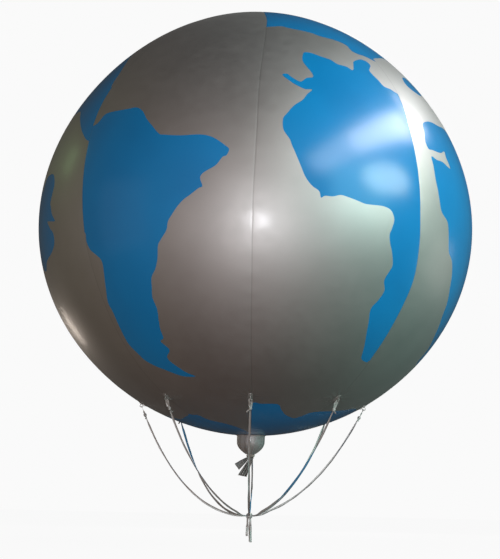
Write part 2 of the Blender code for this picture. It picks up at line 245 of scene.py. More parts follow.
# %% Grid and sweep helpers
def flat_map(count, size, wrap):
    """Indices of the quads of a grid of count rings with size points, and their corners' places in it."""
    i, j = np.meshgrid(np.arange(count - 1), np.arange(size if wrap else size - 1), indexing="ij")
    i, j = i.ravel(), j.ravel()
    corners = [(i, j), (i, j + 1), (i + 1, j + 1), (i + 1, j)]
    quads = np.stack([row * size + column % size for row, column in corners], 1)
    places = np.stack([np.stack([column, row], 1) for row, column in corners], 1)
    return quads, places / (size if wrap else size - 1, count - 1)


def signed_volume(points, faces):
    """Sum of corner . (next x next) / 6 over the faces' fans: negative if they point inwards."""
    total = 0.0
    for k in range(1, faces.shape[1] - 1):
        a, b, c = (points[faces[:, n]] for n in (0, k, k + 1))
        total += np.einsum("ij,ij->i", a, np.cross(b, c)).sum() / 6
    return total


def make_mesh(name, parts):
    """One mesh from (points, list of (faces, corner uv)) parts, each closed part turned to face out."""
    points, faces, uvs, offset = [], [], [], 0
    for part_points, groups, closed in parts:
        inwards = closed and sum(signed_volume(part_points, f) for f, _ in groups) < 0
        for group_faces, group_uv in groups:
            if inwards:
                group_faces, group_uv = group_faces[:, ::-1], group_uv[:, ::-1]
            faces += (group_faces + offset).tolist()
            uvs.append(group_uv.reshape(-1, 2))
        points.append(part_points)
        offset += len(part_points)
    mesh = bpy.data.meshes.new(name)
    mesh.from_pydata(np.concatenate(points).tolist(), [], faces)
    layer = mesh.uv_layers.new(name="film")
    layer.data.foreach_set("uv", np.concatenate(uvs).ravel())
    mesh.shade_smooth()
    return mesh


def grid(rings, wrap=True, tips=(None, None), closed=True):
    """A part for make_mesh from rings (n, m, 3); a tip is a point that a fan joins to the end ring."""
    rings = np.asarray(rings, float)
    count, size = rings.shape[:2]
    quads, places = flat_map(count, size, wrap)
    points = rings.reshape(-1, 3)
    groups = [(quads, places)]
    ring = np.arange(size)
    ahead = (ring + 1) % size
    for end, tip in enumerate(tips):
        if tip is None:
            continue
        base = end * (count - 1) * size
        a, b = (ring, ahead) if end else (ahead, ring)
        fan = np.stack([np.full(size, len(points)), base + a, base + b], 1)
        groups.append((fan, np.stack([np.stack([n / size, np.full(size, float(end))], 1)
                                      for n in (ring + 0.5, a, b)], 1)))
        points = np.concatenate([points, [tip]])
    return points, groups, closed


def sweep(path, profile, face, turn=0.0):
    """A closed tube: ring = path + x * across + y * face, turned about the path by turn radians."""
    path = np.asarray(path, float)
    ahead = unit(np.gradient(path, axis=0))
    face = np.broadcast_to(np.asarray(face, float), path.shape)
    face = unit(face - ahead * (face * ahead).sum(1, keepdims=True))
    across = np.cross(ahead, face)
    turn = np.broadcast_to(turn, len(path))[:, None]
    face, across = (np.cos(turn) * face + np.sin(turn) * across,
                    np.cos(turn) * across - np.sin(turn) * face)
    profile = np.broadcast_to(profile, (len(path), *np.shape(profile)[-2:]))
    rings = (path[:, None] + profile[..., :1] * across[:, None] + profile[..., 1:] * face[:, None])
    return grid(rings, tips=(path[0], path[-1]))


def one_side(part):
    """The same part with all of its way round on the silver half of the strip's UV map."""
    points, groups, closed = part
    return points, [(faces, uv * (0.49, 1)) for faces, uv in groups], closed


def smooth_through(table, steps):
    """An open curve through the rows of a table, evenly spread: cubic between them, level slopes averaged."""
    table = np.asarray(table, float)
    ends = np.concatenate([2 * table[:1] - table[1:2], table, 2 * table[-1:] - table[-2:-1]])
    place = np.linspace(0, len(table) - 1, steps)
    i = np.minimum(place.astype(int), len(table) - 2)
    t = (place - i)[:, None]
    a, b, c, d = (ends[i + k] for k in range(4))
    return 0.5 * (2 * b + (c - a) * t + (2 * a - 5 * b + 4 * c - d) * t ** 2
                  + (3 * b - a - 3 * c + d) * t ** 3)


def add_piece(name, mesh, material, replaces=()):
    """Put a finished mesh into the scene as a piece that rides on the balloon."""
    piece = bpy.data.objects.new(name, mesh)
    bpy.context.scene.collection.objects.link(piece)
    mesh.materials.append(material)
    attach(piece, "root")
    for node in replaces:
        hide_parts(node)
    return piece


print("a 3 by 4 grid has", len(flat_map(3, 4, True)[0]), "faces when it wraps")

# %% [markdown]
# ## Ribbon film
# The ribbons are offcuts of the same plastic film, slit 14 mm wide: PVC, calendered,
# with a silver pearl face and a face printed blue. Handling leaves fine creases across
# them. The strip's own UV map tells the faces apart: the first half of the way round is
# silver and the second half blue.

# %% Ribbon material
def ribbon_film():
    """PVC film, calendered and slit: satin gloss, IOR 1.53, silver one side, blue the other."""
    material, tree, shader = new_material("slit_pvc_film_silver_and_blue")
    uv = add_node(tree, "ShaderNodeUVMap", uv_map="film")
    parts = add_node(tree, "ShaderNodeSeparateXYZ", {0: uv.outputs[0]})
    back = add_node(tree, "ShaderNodeMath", {0: parts.outputs[0], 1: 0.5},
                    operation="GREATER_THAN")
    spot = add_node(tree, "ShaderNodeTexCoord")
    # creases about 12 mm apart, and cloudier handling marks about 40 mm apart
    crease = add_node(tree, "ShaderNodeTexNoise",
                      {"Vector": spot.outputs["Object"], "Scale": 1 / 0.012, "Detail": 2.0})
    cloud = add_node(tree, "ShaderNodeTexNoise",
                     {"Vector": spot.outputs["Object"], "Scale": 1 / 0.040, "Detail": 2.0})
    silver = add_node(tree, "ShaderNodeMix",
                      {0: cloud.outputs[0], 6: linear("#a0a19d"), 7: linear("#cdceca")},
                      data_type="RGBA")
    blue = add_node(tree, "ShaderNodeMix",
                    {0: cloud.outputs[0], 6: linear("#3b8cc0"), 7: linear("#6cb5dc")},
                    data_type="RGBA")
    both = add_node(tree, "ShaderNodeMix",
                    {0: back.outputs[0], 6: silver.outputs[2], 7: blue.outputs[2]},
                    data_type="RGBA")
    rough = add_node(tree, "ShaderNodeMapRange",
                     {0: crease.outputs[0], 3: 0.40, 4: 0.60})
    bump = add_node(tree, "ShaderNodeBump",
                    {"Height": crease.outputs[0], "Strength": 0.3, "Distance": 0.0002})
    tree.links.new(both.outputs[2], shader.inputs["Base Color"])
    tree.links.new(rough.outputs[0], shader.inputs["Roughness"])
    tree.links.new(bump.outputs[0], shader.inputs["Normal"])
    shader.inputs["Metallic"].default_value = 0.4
    shader.inputs["IOR"].default_value = 1.53
    return material


RIBBON_FILM = ribbon_film()
print(RIBBON_FILM.name)

# %% [markdown]
# ## The eight ribbons
# A ribbon is a lens-shaped profile, 14 mm wide and half a millimetre thick, carried down
# the hanging curve. Slack film twists as it hangs, and it cups a little across its
# width, so the profile turns along the way and narrows where it is bunched.

# %% Ribbons
RIBBON_THICKNESS = 0.0006
STRIP_SIDES = 16
TOWARDS_VIEWER = np.array([0, -1.0, 0])
LEVEL_BIAS = np.array([0, 0, -0.2])        # keeps the face where a ribbon runs along Y


def strip_profile(width, thickness, cup):
    """Curled flat oval: x = w/2 cos, y = t/2 sin + cup * (cos ** 2 - 1/2), one row for each ring."""
    turn = 2 * np.pi * np.arange(STRIP_SIDES) / STRIP_SIDES
    width, cup = (np.asarray(value, float)[..., None] for value in (width, cup))
    x = width / 2 * np.cos(turn)
    y = thickness / 2 * np.sin(turn) + cup * (np.cos(turn) ** 2 - 0.5)
    return np.stack(np.broadcast_arrays(x, y), -1)


def wobble(share, seed, waves=5):
    """A smooth, repeatable unevenness between about -1 and 1: a few sines with seeded phases."""
    rng = np.random.default_rng(seed)
    phases = rng.uniform(0, 2 * np.pi, waves)
    speeds = rng.uniform(1.5, 9, waves)
    return sum(np.sin(2 * np.pi * speed * share + phase)
               for speed, phase in zip(speeds, phases)) / waves ** 0.5 / 1.4


SWAY = {"back": 0.009, "front": -0.003}   # m to the side, half-way along
for index, (name, (degrees, _, _, twist)) in enumerate(ROPES.items()):
    route = np.concatenate([routes[name], [(INTO_KNOT, KNOT_Z)]])
    share = np.linspace(0, 1, len(route))
    path = around(np.radians(degrees), route[:, 0], route[:, 1])
    path[:, 0] += SWAY.get(name, 0) * np.sin(np.pi * share) ** 2
    turn = np.radians(smooth_through(np.array(twist, float)[:, None], len(path))[:, 0])
    turn = turn + 0.16 * wobble(share, 40 + index)
    bunched = np.clip(np.minimum(share * len(path) / 5, (1 - share) * len(path) / 8), 0, 1)
    width = RIBBON_WIDTH * (0.45 + 0.5 * bunched + 0.05 * wobble(share, 60 + index))
    cup = 0.0040 + 0.0014 * wobble(share, 80 + index)
    face = TOWARDS_VIEWER + LEVEL_BIAS * np.cos(np.radians(degrees))
    part = sweep(path, strip_profile(width, RIBBON_THICKNESS, cup), face, turn)
    add_piece(f"ribbon_{name}", make_mesh(f"ribbon_{name}", [part]),
                              RIBBON_FILM, [f"rope_{name}"])

# %% [markdown]
# ## The knot and its cut ends
# All eight ribbons are knotted together, and three cut strands hang below. A knot of
# flat film is a lump of folds. It could be tied from real curves, but at this size a
# twisted bead with a few bands wound over it shows the same folds with fewer faces.

# %% Bridle knot
def twisted_bead(centre, radius, half_height, lobes, lean, depth, size=72, count=36):
    """r = R * sqrt(1 - s^4) * (1 + depth * cos(lobes * (angle - lean * s))), s from -1 to 1 in height."""
    s = np.sin(np.linspace(-np.pi / 2, np.pi / 2, count + 2)[1:-1])[:, None]
    angle = np.linspace(0, 2 * np.pi, size, endpoint=False)[None]
    folds = 1 + depth * np.cos(lobes * (angle - lean * s)) + 0.3 * depth * np.cos(
        (lobes + 4) * angle + 3 * s)
    r = radius * np.sqrt(1 - s ** 4) * folds
    rings = np.stack([r * np.cos(angle), r * np.sin(angle), half_height * s + 0 * angle], -1)
    tips = [centre + np.array([0, 0, z]) for z in (-half_height, half_height)]
    return grid(rings + centre, tips=tips)


def wound_band(centre, radius, width, thickness, lean, heading, rise=0.0):
    """A closed band: a ring leaned by lean about the heading, its section wide along the axis."""
    angle = np.linspace(0, 2 * np.pi, 64, endpoint=False)
    section = np.linspace(0, 2 * np.pi, 12, endpoint=False)
    r = radius + thickness / 2 * np.sin(section)[None] * (1 + 0.25 * np.cos(5 * angle)[:, None])
    z = (width / 2 * np.cos(section)[None] + radius * np.tan(lean)
         * np.cos(angle - heading)[:, None] + rise)
    rings = np.stack([r * np.cos(angle)[:, None], r * np.sin(angle)[:, None], z + 0 * r], -1)
    rings = np.concatenate([rings, rings[:1]]) + centre
    points, groups, closed = grid(rings)
    quads, places = groups[0]
    size = 64 * 12
    return points[:size], [(quads % size, places)], closed


knot_centre = np.array([0, 0, KNOT_Z])
knot_parts = [one_side(part) for part in (
    twisted_bead(knot_centre, 0.0150, KNOT_HEIGHT / 2, 5, 1.5, 0.10),
    wound_band(knot_centre, 0.0160, 0.009, 0.0030, np.radians(24), 0.4),
    wound_band(knot_centre, 0.0165, 0.008, 0.0026, np.radians(-20), 1.5, 0.002),
    wound_band(knot_centre, 0.0158, 0.007, 0.0030, np.radians(10), 3.9, -0.006),
)]
add_piece("knotted_ribbons", make_mesh("knotted_ribbons", knot_parts), RIBBON_FILM,
          ["bridle_knot"])
print("knot of", len(knot_parts), "wound parts")

# %% Cut ends of the ribbons
TAIL_RING = 0.010
TAIL_START = KNOT_Z - KNOT_HEIGHT / 2 + 0.010      # inside the knot
# strand: azimuth at the knot, end (x, y), end height, twist from top to end in degrees
TAILS = {
    "left": (270, (-0.012, 0.002), -1.794, (10, 50, -20, 30)),
    "front": (20, (0.002, -0.009), -1.825, (-30, 20, 55, 70)),
    "back": (140, (0.011, 0.009), -1.829, (50, 20, -40, -20)),
}
TAIL_RINGS = 26
for index, (name, (degrees, end, end_z, twist)) in enumerate(TAILS.items()):
    share = np.linspace(0, 1, TAIL_RINGS)[:, None]
    top = around(np.radians(degrees), TAIL_RING, TAIL_START)
    swing = share ** 2 * (3 - 2 * share)
    path = np.concatenate([top[:2] + (np.array(end) - top[:2]) * swing,
                           top[2] + (end_z - top[2]) * share], 1)
    turn = np.radians(smooth_through(np.array(twist, float)[:, None], TAIL_RINGS)[:, 0])
    width = RIBBON_WIDTH * (0.72 + 0.26 * np.minimum(1, share[:, 0] * 3))
    cup = 0.0018 * wobble(share[:, 0] * 0.5, 20 + index)
    part = sweep(path, strip_profile(width, RIBBON_THICKNESS, cup), TOWARDS_VIEWER, turn)
    piece = add_piece(f"cut_end_{name}", make_mesh(f"cut_end_{name}", [part]), RIBBON_FILM,
                      [f"knot_tail_{name}"])

# %% [markdown]
# ## Loops in the tab eyes
# The upper end of each ribbon goes through the eye of its tab and back, and is tied in a
# small knot. In the eye the film is bunched into a bundle a few millimetres across, and
# it opens out again in the legs of the loop. A short cut end stands off each knot.

# %% Loops
# across, along (mm): one leg of the loop from inside its knot up to the bend in the eye
LOOP_LEG = ((0.8, -54.0), (2.6, -47.0), (4.6, -38.0), (6.4, -27.0), (7.4, -16.0), (7.0, -7.0))
LOOP_STEPS = 18
BEND_STEPS = 11


def in_plane(degrees, pairs):
    """(r, z) pairs in the upright plane at an azimuth, as points."""
    pairs = np.asarray(pairs, float)
    return around(np.radians(degrees), pairs[..., 0], pairs[..., 1])


def loop_line(stray):
    """(across, along) in metres up one leg, half round the eye and down the other leg."""
    leg = smooth_through(np.array(LOOP_LEG) / 1000, LOOP_STEPS)
    turn = np.linspace(0, np.pi, BEND_STEPS)[1:-1]
    bend = np.stack([0.007 * np.cos(turn), 0.007 * np.sin(turn) - 0.007], -1)
    back = leg[::-1] * (-1, 1)
    bulge = np.sin(np.linspace(0, np.pi, LOOP_STEPS))[:, None] * (stray, 0)
    return np.concatenate([leg + bulge, bend, back + bulge])


for index, (name, (degrees, tab_degrees, pull, _)) in enumerate(ROPES.items()):
    place, normal, down = tab_frame(tab_degrees)
    eye = place + normal * EYE_HEIGHT
    up_rope = unit(eye - routes[name][0])
    seat = in_plane(degrees, eye - up_rope * loop_seat())
    back_up = in_plane(degrees, eye) - in_plane(degrees, eye - up_rope)
    sideways = np.array([np.cos(np.radians(degrees)), np.sin(np.radians(degrees)), 0])
    facing = np.cross(back_up, sideways)

    line = loop_line(0.0016 * (-1) ** index)
    share = np.linspace(0, 1, len(line))
    lift = 0.0012 * wobble(share * 0.4, 100 + index) * np.sin(np.pi * share) ** 0.5
    path = seat + line[:, :1] * sideways + line[:, 1:] * back_up + lift[:, None] * facing
    at_eye = np.exp(-((share - 0.5) / 0.10) ** 2)
    at_knot = np.exp(-(np.minimum(share, 1 - share) / 0.08) ** 2)
    width = 0.0122 - 0.0084 * at_eye - 0.0060 * at_knot
    thick = 0.0010 + 0.0022 * at_eye + 0.0016 * at_knot
    turn = 0.9 * wobble(share * 0.35, 120 + index) * (1 - at_eye)
    angle = 2 * np.pi * np.arange(STRIP_SIDES) / STRIP_SIDES
    folds = 1 + 0.16 * np.cos(3 * angle)[None] * (at_eye + at_knot)[:, None]
    profile = np.stack([width[:, None] / 2 * np.cos(angle) * folds,
                        thick[:, None] / 2 * np.sin(angle) * folds], -1)
    legs = sweep(path, profile, facing, turn)

    knot_middle = seat - back_up * (LOOP_KNOT_START + LOOP_KNOT_END) / 2
    bead = twisted_bead(np.zeros(3), 0.0078, (LOOP_KNOT_END - LOOP_KNOT_START) / 2 + 0.001,
                        3, 1.9, 0.16, 48, 22)
    band = wound_band(np.zeros(3), 0.0078, 0.0062, 0.0026, np.radians(26), 0.8 + index)
    placed = []
    for points, groups, closed in (bead, band):
        turned = (points[:, :1] * sideways + points[:, 1:2] * np.cross(back_up, sideways)
                  + points[:, 2:] * back_up)
        placed.append((turned + knot_middle, groups, closed))

    out = 1 if index % 2 else -1
    steps = np.linspace(0, 1, 12)[:, None]
    cut_end = (knot_middle - back_up * 0.012 * steps ** 0.7 + sideways * out * 0.021 * steps
               - np.array([0, 0, 0.010]) * steps ** 2)
    flag = sweep(cut_end, strip_profile(0.007 + 0.006 * steps[:, 0], 0.0007, 0.0008 + 0 * steps[:, 0]),
                 facing, 0.5 + 0.8 * steps[:, 0])
    mesh = make_mesh(f"loop_{name}", [one_side(part) for part in (legs, *placed, flag)])
    add_piece(f"loop_{name}", mesh, RIBBON_FILM, [f"rope_loop_{name}"])
print("loops:", len(ROPES))

# %% [markdown]
# ## Seams
# The globe is welded from eight gores, each a strip that runs from the neck to the
# crown. Welding is done by hand, so the seams wander a degree or so from true meridians,
# more on some. The table gives that lean for the seams that face the viewer.

# %% Seam lines
LEAN_LATITUDES = (-88, -56, -42, -30, -20, -12, -4, 4, 14, 20, 26, 32, 40, 60, 88)
SEAM_LEANS = {               # degrees, at the latitudes above
    0: (0.5, 0.6, 0.1, 0.0, 0.0, -0.1, -0.1, 0.2, 0.5, 0.6, 0.8, 1.2, 2.0, 4.4, 3.0),
    45: (0.0, 0.0, -0.6, 0.3, 1.4, 0.6, -0.3, -0.5, -0.4, 0.0, 1.2, 2.0, 2.2, 3.0, 2.0),
    315: (0.0, 0.0, 0.0, 0.0, -0.4, -1.3, -1.7, -2.3, -3.3, -4.2, -4.9, -4.9, -4.0, -2.0, 0.0),
}


def seam_azimuth(index, latitude):
    """Degrees: 45 * index plus the seam's lean, from the table or a slow wave for the seams behind."""
    degrees = 45 * (index % GORES)
    leans = SEAM_LEANS.get(degrees)
    if leans is None:
        lean = 0.9 * np.sin(np.radians(2.2 * latitude + 2 * degrees))
    else:
        lean = np.interp(latitude, LEAN_LATITUDES, leans)
    return 45.0 * index + lean


def smooth_lean(index, latitude):
    """The lean averaged over five degrees of latitude, so that the seam has no corners."""
    return sum(seam_azimuth(index, latitude + step) for step in (-2, -1, 0, 1, 2)) / 5


print("front left seam at the equator:", smooth_lean(7, 0.0).round(2), "degrees")

# %% [markdown]
# ## The film's relief
# Under its gentle pressure the film bulges between the seams, and each weld lies in a
# shallow valley with a narrow groove. Along a weld the film puckers slightly. Small
# creases fan out from each tab, where the ribbons' weight tugs at the skin. All of this
# is a few tenths of a millimetre, yet gloss shows it at once, so it is real shape here
# and not a picture of bumps.

# %% Relief and normals
VALLEY_DEPTH, VALLEY_REACH = 0.0010, 0.060        # m
GROOVE_DEPTH, GROOVE_REACH = 0.00030, 0.0042
PUCKER_HEIGHT, PUCKER_REACH, PUCKER_PITCH = 0.00022, 0.045, 0.095
CREASE_HEIGHT, CREASE_REACH, CREASE_COUNT = 0.00085, 0.085, 13


def seam_gap(azimuth, latitude):
    """Distance in metres from the nearest seam, and that seam's number."""
    gaps = []
    for index in range(GORES):
        away = (azimuth - smooth_lean(index, latitude) + 180) % 360 - 180
        gaps.append(np.radians(away) * film_curve(np.radians(latitude))[..., 0])
    gaps = np.stack(gaps)
    nearest = np.abs(gaps).argmin(0)
    return np.abs(np.take_along_axis(gaps, nearest[None], 0)[0]), nearest


def relief(azimuth, latitude):
    """Height of the film over its smooth curve: - valley - groove + puckers + creases, in metres."""
    gap, nearest = seam_gap(azimuth, latitude)
    height = -VALLEY_DEPTH * np.exp(-gap / VALLEY_REACH)
    height = height - GROOVE_DEPTH * np.exp(-(gap / GROOVE_REACH) ** 2)
    along = np.radians(latitude) * RADIUS
    wave = np.sin(2 * np.pi * along / PUCKER_PITCH + 1.9 * nearest
                  + 1.4 * np.sin(along * 9 + nearest))
    height = height + PUCKER_HEIGHT * wave * np.exp(-(gap / PUCKER_REACH) ** 2)
    for index, (degrees, tab_degrees, _, _) in enumerate(ROPES.values()):
        up = np.radians(latitude + 90 - tab_degrees) * RADIUS
        side = (np.radians((azimuth - degrees + 180) % 360 - 180)
                * film_curve(np.radians(latitude))[..., 0])
        reach = np.hypot(up, side)
        fan = np.cos(CREASE_COUNT * np.arctan2(side, up) + index) * (1 - np.exp(-(reach / 0.03) ** 2))
        height = height + CREASE_HEIGHT * fan * np.exp(-(reach / CREASE_REACH) ** 2)
        height = height + 0.0008 * np.exp(-(reach / 0.035) ** 2)
    return height


def film(azimuth, latitude, lift=0.0):
    """Points of the film in degrees: the turned curve plus relief and lift along its own normal."""
    azimuth, latitude = np.broadcast_arrays(np.asarray(azimuth, float), latitude)
    step = 1e-4
    pairs = film_curve(np.radians(latitude))
    slope = unit(film_curve(np.radians(latitude) + step) - film_curve(np.radians(latitude) - step))
    out = np.stack([slope[..., 1], -slope[..., 0]], -1)
    pairs = pairs + out * np.asarray(relief(azimuth, latitude) + lift)[..., None]
    return around(np.radians(azimuth), pairs[..., 0], pairs[..., 1])


def film_normals(azimuth, latitude):
    """Unit normals: (east difference) x (north difference) over a hundredth of a degree."""
    step = 0.01
    east = film(azimuth + step, latitude) - film(azimuth - step, latitude)
    north = film(azimuth, latitude + step) - film(azimuth, latitude - step)
    return unit(np.cross(east, north))


print("deepest seam relief:", relief(np.array([20.0, 0.0]), np.array([0.0, 0.0])).round(4), "m")

# %% [markdown]
# ## The map
# Land is printed on each gore before the gores are welded, and the halves of a coast
# rarely meet at a seam. So each gore has its own outlines, as azimuth and latitude in
# degrees, picked and drawn past the gore's edge, where the weld cuts them. The
# far side has the rest of a plain world map in the same manner.

# %% Land outlines
# gore: outlines; a gore's number times 45 is the azimuth of its first seam
LAND = {
    -1: [
        # the south-western continent, cut off along the front left seam
        [(-56, 18.5), (-48, 18.5), (-45.5, 21), (-43.5, 21.5), (-39.5, 21.5), (-36, 21.5),
         (-33.5, 21.5), (-31, 20), (-29, 17.5), (-27, 15.5), (-24.5, 13), (-23, 12.5),
         (-18.5, 12), (-13.5, 12), (-11, 11.5), (-9, 10.5), (-7, 9), (-6, 8), (-6.5, 6.5),
         (-7.5, 6), (-9, 4), (-11.5, 2.5), (-12.5, 1.5), (-12.5, 0.5), (-12, -1),
         (-13, -1.5), (-15, -3), (-16.5, -4), (-18, -5.5), (-19.5, -7.5), (-20.5, -9),
         (-21, -11), (-22.5, -13), (-23.5, -14.5), (-24, -17.5), (-25, -20), (-26.5, -22),
         (-27, -24.5), (-27.5, -27), (-27, -30), (-27.5, -33), (-28, -35.5), (-28, -38),
         (-29.5, -39), (-27.5, -41.5), (-29.5, -43.5), (-29.5, -45), (-27.5, -47),
         (-25, -49), (-22, -50.5), (-26.5, -50.5), (-30, -49.5), (-33.5, -48), (-37, -46.5),
         (-40, -44.5), (-41.5, -42), (-43, -39), (-43, -34), (-43, -30), (-43.5, -27.5),
         (-42.5, -24), (-41.5, -19.5), (-41.5, -17), (-43, -15.5), (-45, -14), (-46, -12),
         (-46.5, -9.5), (-52, -9), (-60, -8), (-60, 18)],
        # the far south, and the northern ice
        [(4, -88), (-8, -80), (-20.5, -74.5), (-34, -71), (-38, -68), (-42.5, -67.5),
         (-56, -68), (-56, -96), (8, -96)],
        [(-38, 77), (-32, 81), (-18, 81), (-14, 78), (-22, 75), (-30, 76)],
    ],
    0: [
        # the southern continent right of the front seam
        [(16, 40.5), (18.5, 40.5), (21, 39.5), (24.5, 38.5), (26.5, 37), (29.5, 36.5),
         (31.5, 35.5), (33, 38), (34, 39.5), (37, 41), (39, 41.5), (41, 41), (41.5, 39.5),
         (39, 37), (39.5, 35), (40.5, 33.5), (41.5, 31.5), (44, 31), (46.5, 30), (54, 28),
         (56, -8), (54, -44), (45, -43), (43.5, -43.5), (40, -42.5), (38.5, -39.5),
         (36.5, -35), (35.5, -32), (34.5, -28.5), (36, -26), (37, -23.5), (36, -21),
         (37, -18.5), (37.5, -17), (36.5, -14), (35.5, -12), (35, -10), (35.5, -8.5),
         (36, -6.5), (35.5, -5), (34.5, -4), (32.5, -3.5), (30, -3.5), (27.5, -3.5),
         (25.5, -3), (23.5, -2.5), (21, -2), (19, -2.5), (17, -2.5), (16, -3), (15.5, -1.5),
         (14, -0.5), (13, 0.5), (12, 2), (11, 4.5), (10, 7), (9, 9.5), (8.5, 11), (7, 13.5),
         (7, 16.5), (8, 18), (10, 20.5), (12.5, 22.5), (14, 24.5), (15.5, 26), (13.5, 26),
         (11.5, 27), (10, 28), (7.5, 30.5), (9, 31), (10, 30), (12.5, 28.5), (14.5, 30),
         (16.5, 30.5), (16.5, 32), (15.5, 34), (14.5, 36.5), (15, 39)],
        # the northern mainland, and the far south
        [(-8, 53), (3.5, 53.5), (10, 54.5), (14, 53.5), (22.5, 52), (26.5, 50.5), (30.5, 50),
         (35, 49), (37, 47.5), (37, 45.5), (38, 44.5), (41.5, 44), (54, 45), (56, 78),
         (20, 78), (-10, 76)],
        [(-10, -61), (1.5, -61), (6, -61.5), (14.5, -61.5), (18, -64), (22.5, -66.5),
         (28, -68), (32.5, -68.5), (36, -67), (39, -65), (45.5, -64), (56, -63.5),
         (56, -96), (-10, -96)],
    ],
    1: [
        [(36, 43), (50, 45), (55.5, 46.5), (64, 48), (72, 46), (80, 43), (90, 42.5),
         (100, 42), (100, 78), (36, 78)],
        [(60.5, 39.5), (57.5, 37), (58, 35), (61.5, 34), (66, 34), (70, 36), (66, 40)],
        [(52.5, 21.5), (56, 23), (59.5, 23.5), (64, 23.5), (72, 24), (82, 22), (90, 18.5), (100, 17),
         (102, -20), (98, -36), (90, -38), (84, -41), (80, -40), (79, -36), (75, -32.5), (72, -29),
         (70, -26.5), (68.5, -23), (66, -19.5), (64.5, -16.5), (62, -13), (59, -11),
         (57.5, -6.5), (56.5, -4), (53.5, -2), (52.5, 1), (52, 3.5), (51.5, 6), (51.5, 9.5),
         (51.5, 12), (54, 11.5), (57, 11.5), (61, 10.5), (60, 13.5), (60, 15), (57, 14),
         (53, 14), (51, 14), (50.5, 16), (51.5, 18.5)],
        [(34, -65), (45.5, -64), (56.5, -63), (65, -62), (74.5, -60.5), (84, -61),
         (100, -63), (100, -96), (34, -96)],
    ],
    2: [
        [(78, 80), (78, 42), (90, 43), (94, 41), (97, 36), (99, 31), (98, 27), (101, 22),
         (104, 16), (107, 11), (109, 8.5), (111, 11), (113, 16), (116, 21), (120, 23),
         (124, 22), (126, 18), (127, 12), (129, 8), (130.5, 9), (131, 13), (134, 15),
         (148, 16), (148, 80)],
        [(80, 21), (91, 18.5), (95, 17), (100, 13), (103, 11), (101, 6), (98, 0), (96, -6),
         (96.5, -12), (98, -17), (96, -24), (93.5, -31), (90, -38), (84, -43), (80, -45)],
        [(102.5, -13), (105.5, -12), (106.5, -17), (103.5, -24), (100.5, -22)],
        [(80, -63), (100, -66), (112, -64), (124, -66), (148, -67), (148, -96), (80, -96)],
    ],
    3: [
        [(122, 80), (122, 24), (132, 20), (140, 19), (146, 22), (151, 28), (153, 35),
         (158, 38), (157, 42), (163, 47), (168, 54), (176, 58), (192, 62), (192, 80)],
        [(164, 33), (168, 37), (171, 43), (169, 44), (166, 39), (162, 34)],
        [(137, -2), (140, 3), (145, 4), (148, 0), (144, -4), (139, -5)],
        [(152, -3), (158, -2), (165, -5), (170, -9), (163, -8), (156, -6)],
        [(145, -22), (150, -18), (155, -14), (159, -12), (161, -15), (164, -17), (166, -11),
         (170, -18), (175, -25), (174, -32), (170, -38), (164, -38), (160, -33), (153, -32),
         (147, -34), (144, -28)],
        [(122, -66), (150, -68), (165, -70), (192, -73), (192, -96), (122, -96)],
    ],
    4: [
        [(168, 80), (168, 60), (184, 62), (192, 64), (198, 66), (192, 70), (186, 73),
         (196, 80)],
        [(186, -35), (189, -38), (187, -41), (184, -45), (180.5, -46), (183, -41)],
        [(204, 60), (210, 58), (218, 60), (238, 62), (238, 80), (206, 73), (202, 66)],
        [(168, -75), (190, -78), (205, -76), (238, -73), (238, -96), (168, -96)],
    ],
    5: [
        [(212, 75), (212, 60), (226, 60), (232, 56), (236, 50), (240, 44), (243, 38),
         (248, 32), (252, 27), (256, 23.5), (261, 22), (263, 26), (266, 29.5), (270, 30),
         (284, 28), (286, 71), (270, 71), (250, 76)],
        [(212, -73), (235, -74), (250, -71), (284, -68), (284, -96), (212, -96)],
    ],
    6: [
        # the narrow land bridge along the front left seam, with the north behind it
        [(318, 13.5), (311.5, 14), (307, 17), (303.5, 20), (300, 23), (296, 26), (290, 26.5),
         (282, 27), (276, 29.5), (270, 30), (258, 30), (258, 71), (270, 71), (278, 67),
         (284, 61), (290, 56),
         (296, 50), (302, 45), (305, 42), (308, 37), (310, 31), (318, 30), (324, 22)],
        [(288, 8), (294, 8), (296.5, 6.5), (297.5, 4.5), (297, 2.5), (296, 0), (296.5, -1),
         (297.5, -3), (299.5, -5), (297, -4.8), (294, -4.5), (296, -6.5), (298, -8),
         (298, -10.5), (295, -12.5), (289, -14), (285.5, -16), (281, -15), (278, -12.5),
         (274.5, -13.5), (273, -11), (273.5, -6.5), (272.5, -3), (275, -0.5), (277.5, 1),
         (279, 5), (281.5, 7), (284, 8.5), (285, 5), (286, 5)],
        [(324, -67.5), (310, -68), (293, -69.5), (280, -67), (258, -66), (258, -96),
         (324, -96)],
    ],
}
print("outlines:", sum(len(outlines) for outlines in LAND.values()))

# %% [markdown]
# ## Cutting land from sea
# The coast has to be crisp and belong to the shape, so each gore is triangulated with
# the coastlines as edges: a flat plan of the gore, with a grid of points for the curve
# and the outlines laid over it, goes through a constrained Delaunay triangulation. The
# faces inside an outline become the blue land piece and the rest the silver piece. A
# painted texture would be simpler, but it would blur up close.

# %% Gore plan
SHARE_STEPS = np.array([0, 0.0012, 0.0026, 0.0045, 0.007, 0.011, 0.017, 0.027, 0.042])
ACROSS = np.concatenate([SHARE_STEPS, np.linspace(0.062, 0.5, 13)])
ACROSS = np.concatenate([ACROSS, 1 - ACROSS[-2::-1]]) * 45
FIRST_LATITUDE, LAST_LATITUDE = np.degrees([NECK_LATITUDE, -NECK_LATITUDE])
ALONG = np.concatenate([
    np.linspace(FIRST_LATITUDE, -50, 74, endpoint=False),
    np.linspace(-50, LAST_LATITUDE, 126),
])
COAST_STEPS = 5


